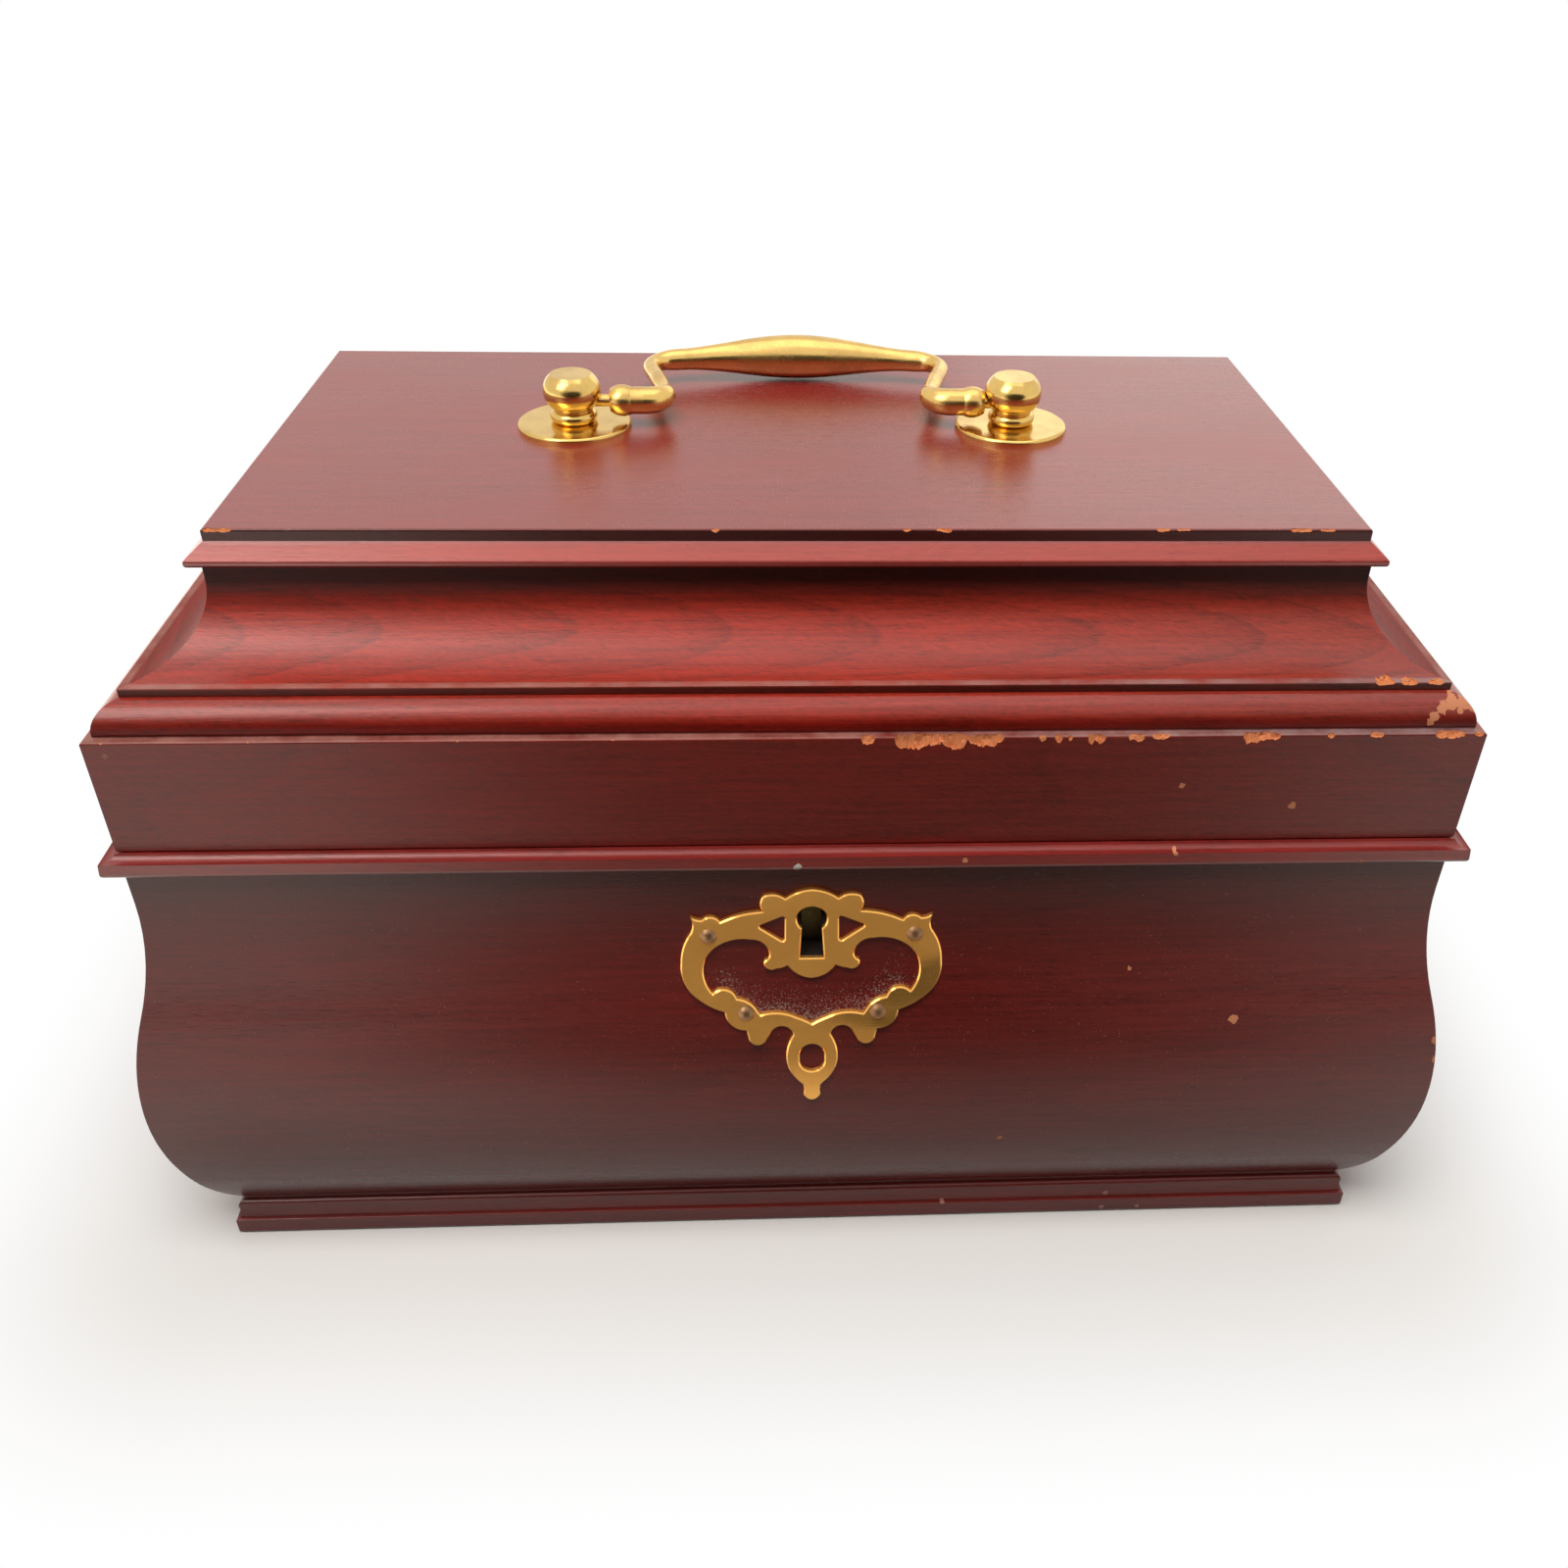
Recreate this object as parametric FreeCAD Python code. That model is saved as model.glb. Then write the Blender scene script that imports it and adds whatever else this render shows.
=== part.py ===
import FreeCAD, Part
import math
import os

from FreeCAD import Vector

# Tea caddy in millimetres. +Z is up, the front faces -Y, and the origin is on the floor under the middle.
# Mouldings are drawn as (d, z) profiles: d is measured outwards from the face of the lid's frieze.

# Plan of the lid's frieze
FRIEZE_W = 248.0
FRIEZE_D = 142.0

# Heights of the layers, from the floor up
PLINTH_H = 9.8
BODY_H = 90.4
RIM_H = 4.0
LID_GAP = 0.25
FRIEZE_H = 23.05
TORUS_H = 5.5
COVE_FILLET_H = 1.6
COVE_R = 14.0
NECK_H = 2.9
EAVE_H = 1.3
BEVEL_H = 2.5
TOP_EDGE_H = 2.2

# Walls of the body and the lid, sawn from one box, and the body's swelling faces
PANEL_T = 12.0
PANEL_INSET = 0.1
STRAIGHT_H = 7.7
BELLY_H = 33.0
BELLY_SWELL = 8.1
BELLY_LOW_R = 72.0
FOOT_TURN_H = 11.7
FOOT_INSET = 1.1

# Plinth, rim and bottom
PLINTH_W = 18.0
PLINTH_TOP_INSET = 1.2
PLINTH_NECK_H = 0.9
PLINTH_BEAD_R = 1.2
PLINTH_OUT = 1.1
PLINTH_FILLET_H = 4.3
PLINTH_STEP = 0.8
PLINTH_HOLLOW_WAY = (-0.1, -1.0)
PLINTH_FOOT_R = 0.9
RIM_OUT = 2.9
RIM_DROP = 0.9
RIM_LEDGE = 0.5
RIM_SLOPE_WAY = (0.35, -1.0)
RIM_NOSE_R = 1.1
BOTTOM_T = 6.0
ARRIS_R = 0.5

# Linings, partitions and floor cloth of the three wells
LINING_T = 3.0
LINING_DROP = 0.3
PARTITION_T = 5.0
PARTITION_DROP = 12.0
GROOVE_D = 1.2
BAIZE_T = 1.0
BAIZE_CLEAR = 0.3

# Lid mouldings and top board
TORUS_IN = 1.7
TORUS_W = 4.2
COVE_FOOT_INSET = 6.1
COVE_RAIL_W = 22.0
EAVE_OUT = 2.2
EAVE_NOSE_R = 0.75
TOP_INSET = 3.1
FIELD_DROP = 4.0
FIELD_CLEAR = 0.2

# Lock, keyhole and link plate
LOCK_X = 2.0
KEY_BELOW_JOINT = 16.9
KEY_R = 2.9
KEY_SLOT_W = 3.6
KEY_FOOT_W = 4.7
KEY_DROP = 8.8
LOCK_WALL = 1.2
LOCK_INNER_D = 6.0
LOCK_HALF_W = 20.0
LOCK_BELOW_KEY = 9.6
LOCK_FLANGE = 5.0
SELVEDGE_T = 1.5
SELVEDGE_LAP = 1.2
POCKET_CLEAR = 0.2
EYE_X = 10.0
EYE_T = 2.0
EYE_W = 4.2
EYE_DROP = 9.0
EYE_WALL = 1.3
EYE_HOLE_W = 2.6
EYE_HOLE_H = 3.4
EYE_SLOT_X = 0.4
EYE_SLOT_Y = 0.8
LINK_W = 40.0
LINK_D = 8.0
LINK_T = 1.2
BOLT_TRAVEL = 5.0
BOLT_T = 2.2
BOLT_BAR_H = 4.3
BOLT_POST = 2.5
BOLT_CLEAR = 0.5
SPRING_T = 0.5
SPRING_WAY = (1.0, 1.0)
DRILL_PIN_R = 1.0

# Escutcheon plate and its pins
ESC_T = 1.0
TRIANGLE_R = 0.45
RING_X = 2.5
RING_TOP = -27.2
RING_FOOT = -33.5
PIN_HEAD_R = 1.7
PIN_HEAD_H = 0.9
PIN_R = 0.8
PIN_TIP_CLEAR = 0.6
PIN_SEAT = 0.03
UPPER_PIN = (20.0, -3.5)
LOWER_PIN = (13.1, -20.2)

# Butt hinges
HINGE_INSET = 52.0
HINGE_L = 32.0
HINGE_LEAF_W = 9.0
HINGE_LEAF_T = 1.2
HINGE_OUT = 1.5
KNUCKLE_R = 2.0
KNUCKLES = 5
KNUCKLE_GAP = 0.15
KNUCKLE_CLEAR = 0.3
HINGE_PIN_R = 1.0
RUN_CLEAR = 0.05

# Wood screws
SCREW_R = 1.2
SCREW_HEAD_R = 2.2
SCREW_L = 9.0
LOCK_SCREW_L = 6.0
SLOT_W = 0.5
SLOT_DEPTH = 0.4

# Handle posts and roses
POST_X = 44.45
POST_Y = 1.5
ROSE_R = 11.4
ROSE_T = 1.2
ROSE_EDGE = 0.6
COLLAR_R = 4.75
COLLAR_H = 2.3
WAIST_R = 4.0
WAIST_H = 0.4
BALL_R = 5.75
BALL_H = 6.65
BALL_FLAT_R = 4.1
BALL_EASE = 0.5
STUD_R = 2.0
STUD_BELOW = 6.0
WASHER_R = 4.5
WASHER_T = 0.8
NUT_AF = 7.0
NUT_H = 3.2

# Bail handle
PIVOT_DROP = 1.983
BAIL_PIN_R = 1.2
BAIL_PIN_REACH = 1.2
BAIL_HOLE_END = 1.3
BAIL_SLID = 0.85
ARM_OUT = 37.75
ARM_R = 2.65
BEAD_R = 3.05
BEAD_L = 4.2
BEND_X = 31.05
BEND_R = 4.2
NECK_R = 1.65
NECK_LEAN = 14.0
SHOULDER_R = 5.5
SHOULDER_Y = 27.5
GRIP_SLOPE = 13.0
GRIP_END_R = 2.15
GRIP_R = 4.5
REST_GAP = 0.3
BEND_STEPS = 5
NECK_STEPS = 3
GRIP_STEPS = 8

# Levels worked out from the heights
half_w = FRIEZE_W / 2
half_d = FRIEZE_D / 2
z_body = PLINTH_H
z_rim = z_body + BODY_H
z_joint = z_rim + RIM_H
z_lid = z_joint + LID_GAP
z_ledge = z_lid + FRIEZE_H
z_cove = z_ledge + TORUS_H
z_cove_arris = z_cove + COVE_FILLET_H
z_neck = z_cove_arris + COVE_R
z_eave = z_neck + NECK_H
z_bevel = z_eave + EAVE_H
z_edge = z_bevel + BEVEL_H
z_top = z_edge + TOP_EDGE_H
z_floor = z_body + BOTTOM_T
key_z = z_joint - KEY_BELOW_JOINT

# The four sides in order round the box: name, turn about Z, distance to the face, half its length
SIDE_NAMES = ("front", "right", "back", "left")
SIDES = []
for index, name in enumerate(SIDE_NAMES):
    reach, half_length = (half_w, half_d) if index % 2 else (half_d, half_w)
    SIDES.append((name, 360 * index / len(SIDE_NAMES), reach, half_length))

parts = {}


# Small geometry helpers

def edge_chain(to_point, start, steps):
    """Edges from start through steps; a step is an end point, or a pair of via point and end point."""
    edges = []
    here = start
    for step in steps:
        if isinstance(step[0], tuple):
            via, end = step
            edges.append(Part.Arc(to_point(here), to_point(via), to_point(end)).toShape())
        else:
            end = step
            edges.append(Part.LineSegment(to_point(here), to_point(end)).toShape())
        here = end
    return edges


def face_of(edges):
    return Part.Face(Part.Wire(Part.__sortEdges__(edges)))


def rounded(before, corner, after, radius):
    """Steps that round one corner of a profile between two straight runs."""
    a = Vector(before[0] - corner[0], before[1] - corner[1], 0).normalize()
    b = Vector(after[0] - corner[0], after[1] - corner[1], 0).normalize()
    half = a.getAngle(b) / 2
    reach = radius / math.tan(half)
    middle = (a + b).normalize() * (radius / math.sin(half) - radius)
    first = (corner[0] + a.x * reach, corner[1] + a.y * reach)
    via = (corner[0] + middle.x, corner[1] + middle.y)
    last = (corner[0] + b.x * reach, corner[1] + b.y * reach)
    return [first, (via, last)]


def tangent_via(start, heading, end):
    """Middle of the arc that leaves start along heading and reaches end."""
    chord = Vector(end[0] - start[0], end[1] - start[1], 0)
    way = Vector(heading[0], heading[1], 0).normalize()
    along = Vector(chord).normalize()
    across = way - along * way.dot(along)
    rise = chord.Length / 2 * math.tan(way.getAngle(chord) / 2)
    mid = chord * 0.5 + across.normalize() * rise
    return (start[0] + mid.x, start[1] + mid.y)


def box(x0, x1, y0, y1, z0, z1):
    return Part.makeBox(x1 - x0, y1 - y0, z1 - z0, Vector(x0, y0, z0))


def cylinder(radius, start, direction, length):
    return Part.makeCylinder(radius, length, start, direction)


def turned(shape, angle):
    copy = shape.copy()
    copy.rotate(Vector(0, 0, 0), Vector(0, 0, 1), angle)
    return copy


def revolved(points_and_arcs, start):
    """Solid of revolution about Z from a closed (r, z) profile."""
    edges = edge_chain(lambda p: Vector(p[0], 0, p[1]), start, points_and_arcs)
    return face_of(edges).revolve(Vector(0, 0, 0), Vector(0, 0, 1), 360)


def bar_along_x(profile, reach, half_length):
    """Profile in (d, z) on a side whose frieze face is at -reach, run along X."""
    start, steps = profile[0], list(profile[1:]) + [profile[0]]
    edges = edge_chain(lambda p: Vector(-half_length, -(reach + p[0]), p[1]), start, steps)
    return face_of(edges).extrude(Vector(2 * half_length, 0, 0))


def mitred(profile, reach, half_length):
    """Moulding of one side, cut at 45 degrees at both ends."""
    bounds = bar_along_x(profile, reach, half_length).BoundBox
    inner = -bounds.YMax - reach
    outer = -bounds.YMin - reach
    run = bar_along_x(profile, reach, half_length + outer)
    corners = [
        Vector(-(half_length + inner), -(reach + inner), bounds.ZMin),
        Vector(half_length + inner, -(reach + inner), bounds.ZMin),
        Vector(half_length + outer, -(reach + outer), bounds.ZMin),
        Vector(-(half_length + outer), -(reach + outer), bounds.ZMin),
    ]
    plan = Part.Face(Part.makePolygon(corners + [corners[0]]))
    return run.common(plan.extrude(Vector(0, 0, bounds.ZLength)))


def frame_of_four(name, profile):
    """Four mitred lengths of one moulding, named for their sides."""
    for side, angle, reach, half_length in SIDES:
        parts[name.format(side)] = turned(mitred(profile, reach, half_length), angle)


def screw(length):
    """Countersunk wood screw, head at Z = 0 and point down, with no slot yet."""
    cone = Part.makeCone(SCREW_R, SCREW_HEAD_R, HINGE_LEAF_T, Vector(0, 0, -HINGE_LEAF_T), Vector(0, 0, 1))
    point_h = 2 * SCREW_R
    shank_l = length - point_h - HINGE_LEAF_T
    shank = cylinder(SCREW_R, Vector(0, 0, point_h - length), Vector(0, 0, 1), shank_l)
    tip = Part.makeCone(0, SCREW_R, point_h, Vector(0, 0, -length), Vector(0, 0, 1))
    return cone.fuse([shank, tip]).removeSplitter()


def slotted(blank):
    slot = box(-SCREW_HEAD_R, SCREW_HEAD_R, -SLOT_W / 2, SLOT_W / 2, -SLOT_DEPTH, SLOT_DEPTH)
    return blank.cut(slot)


def placed(shape, axis, angle, spot):
    copy = shape.copy()
    copy.rotate(Vector(0, 0, 0), axis, angle)
    copy.translate(spot)
    return copy


# Body panels: straight at the top, an ogee out to the belly, then a tighter turn in to the foot

belly_z = z_body + BELLY_H
flare_z = z_rim - STRAIGHT_H
belly_d = BELLY_SWELL - PANEL_INSET
turn_z = z_body + FOOT_TURN_H
turn_drop = belly_z - turn_z
turn_d = belly_d - (BELLY_LOW_R - math.sqrt(BELLY_LOW_R ** 2 - turn_drop ** 2))
turn_angle = math.asin(turn_drop / BELLY_LOW_R)
ogee_angle = 2 * math.atan(BELLY_SWELL / (flare_z - belly_z))
ogee_r = (flare_z - belly_z) / 2 / math.sin(ogee_angle)

flare_top = (-PANEL_INSET, flare_z)
inflection = ((belly_d - PANEL_INSET) / 2, (flare_z + belly_z) / 2)
belly = (belly_d, belly_z)
foot_turn = (turn_d, turn_z)
foot = (-FOOT_INSET, z_body)


def front_surface(z):
    """Depth d of the panel's face, and its tilt from upright in degrees, between belly and straight top."""
    if z >= flare_z:
        return -PANEL_INSET, 0.0
    from_top = flare_z - z
    from_belly = z - belly_z
    drop = min(from_top, from_belly)
    swell = ogee_r - math.sqrt(ogee_r ** 2 - drop ** 2)
    depth = -PANEL_INSET + swell if from_top < from_belly else belly_d - swell
    return depth, math.degrees(math.asin(drop / ogee_r))


ogee_way = (math.sin(ogee_angle), -math.cos(ogee_angle))
foot_way = (-math.sin(turn_angle), -math.cos(turn_angle))
panel_profile = [
    (-PANEL_T, z_rim),
    (-PANEL_INSET, z_rim),
    flare_top,
    (tangent_via(flare_top, (0, -1), inflection), inflection),
    (tangent_via(inflection, ogee_way, belly), belly),
    (tangent_via(belly, (0, -1), foot_turn), foot_turn),
    (tangent_via(foot_turn, foot_way, foot), foot),
    (-PANEL_T, z_body),
]
frame_of_four("{}_panel", panel_profile)

# Plinth: a bead and a shallow hollow over a square fillet, mitred under the panels

plinth_top = (-PLINTH_TOP_INSET, z_body)
bead_top = (-PLINTH_TOP_INSET, z_body - PLINTH_NECK_H)
bead_foot = (PLINTH_BEAD_R - PLINTH_TOP_INSET, z_body - PLINTH_NECK_H - PLINTH_BEAD_R)
hollow_foot = (PLINTH_OUT - PLINTH_STEP, PLINTH_FILLET_H)
fillet_top = (PLINTH_OUT, PLINTH_FILLET_H)
plinth_profile = [
    (-PLINTH_W, 0.0),
    *rounded((-PLINTH_W, 0.0), (PLINTH_OUT, 0.0), fillet_top, PLINTH_FOOT_R),
    *rounded((PLINTH_OUT, 0.0), fillet_top, hollow_foot, ARRIS_R / 2),
    hollow_foot,
    (tangent_via(bead_foot, PLINTH_HOLLOW_WAY, hollow_foot), bead_foot),
    (tangent_via(bead_top, (1, 0), bead_foot), bead_top),
    plinth_top,
    (-PLINTH_W, z_body),
]
frame_of_four("plinth_{}", plinth_profile)

parts["bottom_board"] = box(
    -half_w + PANEL_T, half_w - PANEL_T, -half_d + PANEL_T, half_d - PANEL_T, z_body, z_floor
)

# Rim moulding on top of the panels: a narrow ledge, a hollow slope and a rounded nose

rim_arris = (RIM_OUT - RIM_LEDGE / 2, z_joint - RIM_DROP)
rim_slope_top = (RIM_LEDGE / 2, z_joint)
rim_nose = (RIM_OUT, z_rim)
rim_profile = [
    (-PANEL_T, z_joint),
    rim_slope_top,
    (tangent_via(rim_slope_top, RIM_SLOPE_WAY, rim_arris), rim_arris),
    *rounded(rim_arris, rim_nose, (-PANEL_T, z_rim), RIM_NOSE_R),
    (-PANEL_T, z_rim),
]
frame_of_four("rim_{}", rim_profile)

# Lid frieze with the torus on its top edge

frieze_top = (0.0, z_ledge)
torus_foot = (-TORUS_IN, z_ledge)
torus_top = (-TORUS_IN - TORUS_W, z_cove)
diagonal = math.sqrt(0.5)
torus_via = (-TORUS_IN - TORUS_W + TORUS_W * diagonal, z_ledge + TORUS_H * diagonal)
frieze_profile = [
    (-PANEL_T, z_lid),
    *rounded((-PANEL_T, z_lid), (0.0, z_lid), frieze_top, ARRIS_R / 2),
    *rounded((0.0, z_lid), frieze_top, torus_foot, ARRIS_R),
    torus_foot,
    (torus_via, torus_top),
    (-PANEL_T, z_cove),
]
frame_of_four("lid_frieze_{}", frieze_profile)

# Cove rails between the torus and the top board

neck_d = -COVE_FOOT_INSET - COVE_R
cove_inner = -COVE_FOOT_INSET - COVE_RAIL_W
cove_via = (-COVE_FOOT_INSET - COVE_R * diagonal, z_neck - COVE_R * diagonal)
cove_profile = [
    (cove_inner, z_cove),
    (-COVE_FOOT_INSET, z_cove),
    (-COVE_FOOT_INSET, z_cove_arris),
    (cove_via, (neck_d, z_neck)),
    (neck_d, z_eave),
    (cove_inner, z_eave),
]
frame_of_four("lid_cove_{}", cove_profile)

# Top board: eave, bevel and upright edge on all sides, with a field let down inside the cove rails

eave_d = neck_d + EAVE_OUT
top_d = eave_d - TOP_INSET
field_d = cove_inner - FIELD_CLEAR
board_half_profile = [
    (field_d, z_eave - FIELD_DROP),
    (field_d, z_eave),
    *rounded((field_d, z_eave), (eave_d, z_eave), (eave_d, z_bevel), EAVE_NOSE_R),
    *rounded((eave_d, z_eave), (eave_d, z_bevel), (top_d, z_edge), EAVE_NOSE_R),
    (top_d, z_edge),
    *rounded((top_d, z_edge), (top_d, z_top), (field_d, z_top), ARRIS_R),
]


def board_run(reach, half_length):
    """The top board's section across one direction, both edges moulded, run along X."""
    halves = []
    for sign in (-1, 1):
        halves.append(edge_chain(
            lambda p: Vector(-half_length, sign * (reach + p[0]), p[1]),
            board_half_profile[0],
            board_half_profile[1:],
        ))
    starts = [edges[0].firstVertex(True).Point for edges in halves]
    ends = [edges[-1].lastVertex(True).Point for edges in halves]
    low = Part.LineSegment(*starts).toShape()
    high = Part.LineSegment(*ends).toShape()
    return face_of(halves[0] + halves[1] + [low, high]).extrude(Vector(2 * half_length, 0, 0))


board_along = board_run(half_d, half_w)
board_across = turned(board_run(half_w, half_d), 90)
parts["lid_top_board"] = board_along.common(board_across)

# Linings: long boards front and back, short boards between them, with two partitions let into grooves

well_x = half_w - PANEL_T - LINING_T
well_y = half_d - PANEL_T - LINING_T
lining_top = z_joint - LINING_DROP
well_w = (2 * well_x - 2 * PARTITION_T) / 3
partition_x = well_w / 2 + PARTITION_T / 2
partition_top = lining_top - PARTITION_DROP
lining_front = box(-well_x - LINING_T, well_x + LINING_T, -well_y - LINING_T, -well_y, z_floor, lining_top)
for side, sign in (("left", -1), ("right", 1)):
    x = sign * partition_x
    partition = box(
        x - PARTITION_T / 2,
        x + PARTITION_T / 2,
        -well_y - GROOVE_D,
        well_y + GROOVE_D,
        z_floor,
        partition_top,
    )
    lining_front = lining_front.cut(partition)
    parts["partition_" + side] = partition
    inner = sign * well_x
    outer = sign * (well_x + LINING_T)
    parts["lining_" + side] = box(min(inner, outer), max(inner, outer), -well_y, well_y, z_floor, lining_top)
parts["lining_front"] = lining_front
parts["lining_back"] = turned(lining_front, 180)

# Baize laid in the floor of each well

pads = []
for middle in (-(well_w + PARTITION_T), 0.0, well_w + PARTITION_T):
    pad_x = well_w / 2 - BAIZE_CLEAR
    pad_y = well_y - BAIZE_CLEAR
    pads.append(box(middle - pad_x, middle + pad_x, -pad_y, pad_y, z_floor, z_floor + BAIZE_T))
parts["well_baize"] = Part.makeCompound(pads)

# Lock: an L-shaped plate let into the panel's inner face and the rim, with a case on its front

lock_y = -half_d + PANEL_T
plate_y = lock_y - LOCK_WALL
case_front_y = plate_y - LOCK_INNER_D
case_y = case_front_y - LOCK_WALL
case_z = key_z - LOCK_BELOW_KEY - LOCK_WALL
case_half = LOCK_HALF_W + LOCK_WALL
plate_half = case_half + LOCK_FLANGE
plate_z = case_z - LOCK_FLANGE / 2
selvedge_z = z_joint - SELVEDGE_T
bolt_y = plate_y - LOCK_INNER_D / 2
lock_x0 = LOCK_X - case_half
lock_x1 = LOCK_X + case_half


def keyhole(y0, y1):
    """Round hole over a slot that widens to its foot, cut along Y."""
    corners = []
    for half, drop in (
        (-KEY_SLOT_W / 2, 0.0), (KEY_SLOT_W / 2, 0.0), (KEY_FOOT_W / 2, KEY_DROP), (-KEY_FOOT_W / 2, KEY_DROP)
    ):
        corners.append(Vector(LOCK_X + half, y0, key_z - drop))
    slot = Part.Face(Part.makePolygon(corners + [corners[0]])).extrude(Vector(0, y1 - y0, 0))
    return cylinder(KEY_R, Vector(LOCK_X, y0, key_z), Vector(0, 1, 0), y1 - y0).fuse(slot).removeSplitter()


back_plate = box(LOCK_X - plate_half, LOCK_X + plate_half, plate_y, lock_y, plate_z, z_joint)
selvedge = box(
    LOCK_X - plate_half, LOCK_X + plate_half, case_y - SELVEDGE_LAP, lock_y, selvedge_z, z_joint
)
case_block = box(lock_x0, lock_x1, case_y, plate_y, case_z, selvedge_z)
case_room = box(
    LOCK_X - LOCK_HALF_W, LOCK_X + LOCK_HALF_W, case_front_y, plate_y, case_z + LOCK_WALL, selvedge_z
)
drill_pin_y = case_front_y + BOLT_CLEAR
drill_pin = cylinder(DRILL_PIN_R, Vector(LOCK_X, drill_pin_y, key_z), Vector(0, 1, 0), lock_y - drill_pin_y)
eye_spots = [LOCK_X - EYE_X, LOCK_X + EYE_X]
eye_slots = []
for x in eye_spots:
    slot_x = EYE_T / 2 + EYE_SLOT_X
    slot_y = EYE_W / 2 + EYE_SLOT_Y
    eye_slots.append(box(x - slot_x, x + slot_x, bolt_y - slot_y, bolt_y + slot_y, selvedge_z, z_joint))
lock_screw_x = plate_half - LOCK_FLANGE / 2
lock_screw_spots = []
for x in (LOCK_X - lock_screw_x, LOCK_X + lock_screw_x):
    for z in (plate_z + LOCK_FLANGE, key_z + LOCK_FLANGE):
        lock_screw_spots.append(Vector(x, lock_y, z))
lock_screw_blanks = [placed(screw(LOCK_SCREW_L), Vector(1, 0, 0), -90, spot) for spot in lock_screw_spots]
lock_plate = back_plate.fuse(selvedge).removeSplitter()
parts["lock_plate"] = lock_plate.cut(eye_slots + [drill_pin] + lock_screw_blanks)
parts["lock_case"] = case_block.cut([case_room, keyhole(case_y, case_front_y)])
parts["lock_drill_pin"] = drill_pin
parts["lock_screws"] = Part.makeCompound(
    [placed(slotted(screw(LOCK_SCREW_L)), Vector(1, 0, 0), -90, spot) for spot in lock_screw_spots]
)

# Bolt with two fingers that slide sideways into the eyes of the link plate; it rests unlocked

eye_foot_z = z_lid - EYE_DROP
finger_z = eye_foot_z + EYE_WALL + BOLT_CLEAR
finger_h = EYE_HOLE_H - 2 * BOLT_CLEAR
bar_top_z = eye_foot_z - BOLT_CLEAR
bar_z = bar_top_z - BOLT_BAR_H
finger_l = BOLT_TRAVEL - BOLT_CLEAR
finger_tips = [x - EYE_T / 2 - BOLT_CLEAR for x in eye_spots]
bar_left = finger_tips[0] - finger_l - BOLT_POST
bar_right = finger_tips[1] + BOLT_CLEAR
bolt_y0 = bolt_y - BOLT_T / 2
bolt_y1 = bolt_y + BOLT_T / 2
bolt = box(bar_left, bar_right, bolt_y0, bolt_y1, bar_z, bar_top_z)
for tip in finger_tips:
    finger = box(tip - finger_l - BOLT_POST, tip, bolt_y0, bolt_y1, finger_z, finger_z + finger_h)
    post = box(
        tip - finger_l - BOLT_POST, tip - finger_l, bolt_y0, bolt_y1, bar_top_z, finger_z + finger_h
    )
    bolt = bolt.fuse([finger, post])
talon = cylinder(KEY_R, Vector(LOCK_X, bolt_y0, bar_z), Vector(0, 1, 0), BOLT_T)
parts["lock_bolt"] = bolt.cut(talon).removeSplitter()

# Leaf spring bent up from the case's end wall to the underside of the bolt

spring_foot = (LOCK_X - LOCK_HALF_W, case_z + LOCK_WALL + BOLT_BAR_H)
spring_tip = (LOCK_X - EYE_X, bar_z - BOLT_CLEAR - SPRING_T)
spring_via = tangent_via(spring_foot, SPRING_WAY, spring_tip)


def lifted(point):
    return (point[0], point[1] + SPRING_T)


spring_edges = edge_chain(
    lambda p: Vector(p[0], bolt_y0, p[1]),
    spring_foot,
    [(spring_via, spring_tip), lifted(spring_tip), (lifted(spring_via), lifted(spring_foot)), spring_foot],
)
parts["lock_spring"] = face_of(spring_edges).extrude(Vector(0, BOLT_T, 0))

# Link plate under the lid's front rail, with two eyes that drop into the lock

link_y0 = bolt_y - LINK_D / 2
link_y1 = bolt_y + LINK_D / 2
link_plate = box(LOCK_X - LINK_W / 2, LOCK_X + LINK_W / 2, link_y0, link_y1, z_lid, z_lid + LINK_T)
link_recess = link_plate.copy()
for x in eye_spots:
    eye_x0 = x - EYE_T / 2
    eye_x1 = x + EYE_T / 2
    hole_y = EYE_HOLE_W / 2
    hole_z = eye_foot_z + EYE_WALL
    eye = box(eye_x0, eye_x1, bolt_y - EYE_W / 2, bolt_y + EYE_W / 2, eye_foot_z, z_lid)
    hole = box(eye_x0, eye_x1, bolt_y - hole_y, bolt_y + hole_y, hole_z, hole_z + EYE_HOLE_H)
    link_plate = link_plate.fuse(eye.cut(hole))
link_screw_x = (EYE_X + LINK_W / 2) / 2
link_spots = [Vector(LOCK_X + sign * link_screw_x, bolt_y, z_lid) for sign in (-1, 1)]
link_blanks = [placed(screw(SCREW_L), Vector(1, 0, 0), 180, spot) for spot in link_spots]
parts["link_plate"] = link_plate.removeSplitter().cut(link_blanks)
parts["link_plate_screws"] = Part.makeCompound(
    [placed(slotted(screw(SCREW_L)), Vector(1, 0, 0), 180, spot) for spot in link_spots]
)
parts["lid_frieze_front"] = parts["lid_frieze_front"].cut([link_recess] + link_blanks)

# Pocket for the lock in the front panel and rim, and the keyhole through the wood

pocket = box(
    lock_x0 - POCKET_CLEAR,
    lock_x1 + POCKET_CLEAR,
    case_y - POCKET_CLEAR,
    lock_y,
    case_z - POCKET_CLEAR,
    z_joint,
)
wood_keyhole = keyhole(-half_d - BELLY_SWELL, case_y)
parts["front_panel"] = parts["front_panel"].cut([pocket, back_plate, wood_keyhole] + lock_screw_blanks)
parts["rim_front"] = parts["rim_front"].cut([pocket, back_plate, selvedge])

# Escutcheon: a pierced plate of arcs, the same on both sides of the keyhole, bent to the panel's curve.
# Its outlines are (x, z) from the middle of the keyhole's round.

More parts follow.
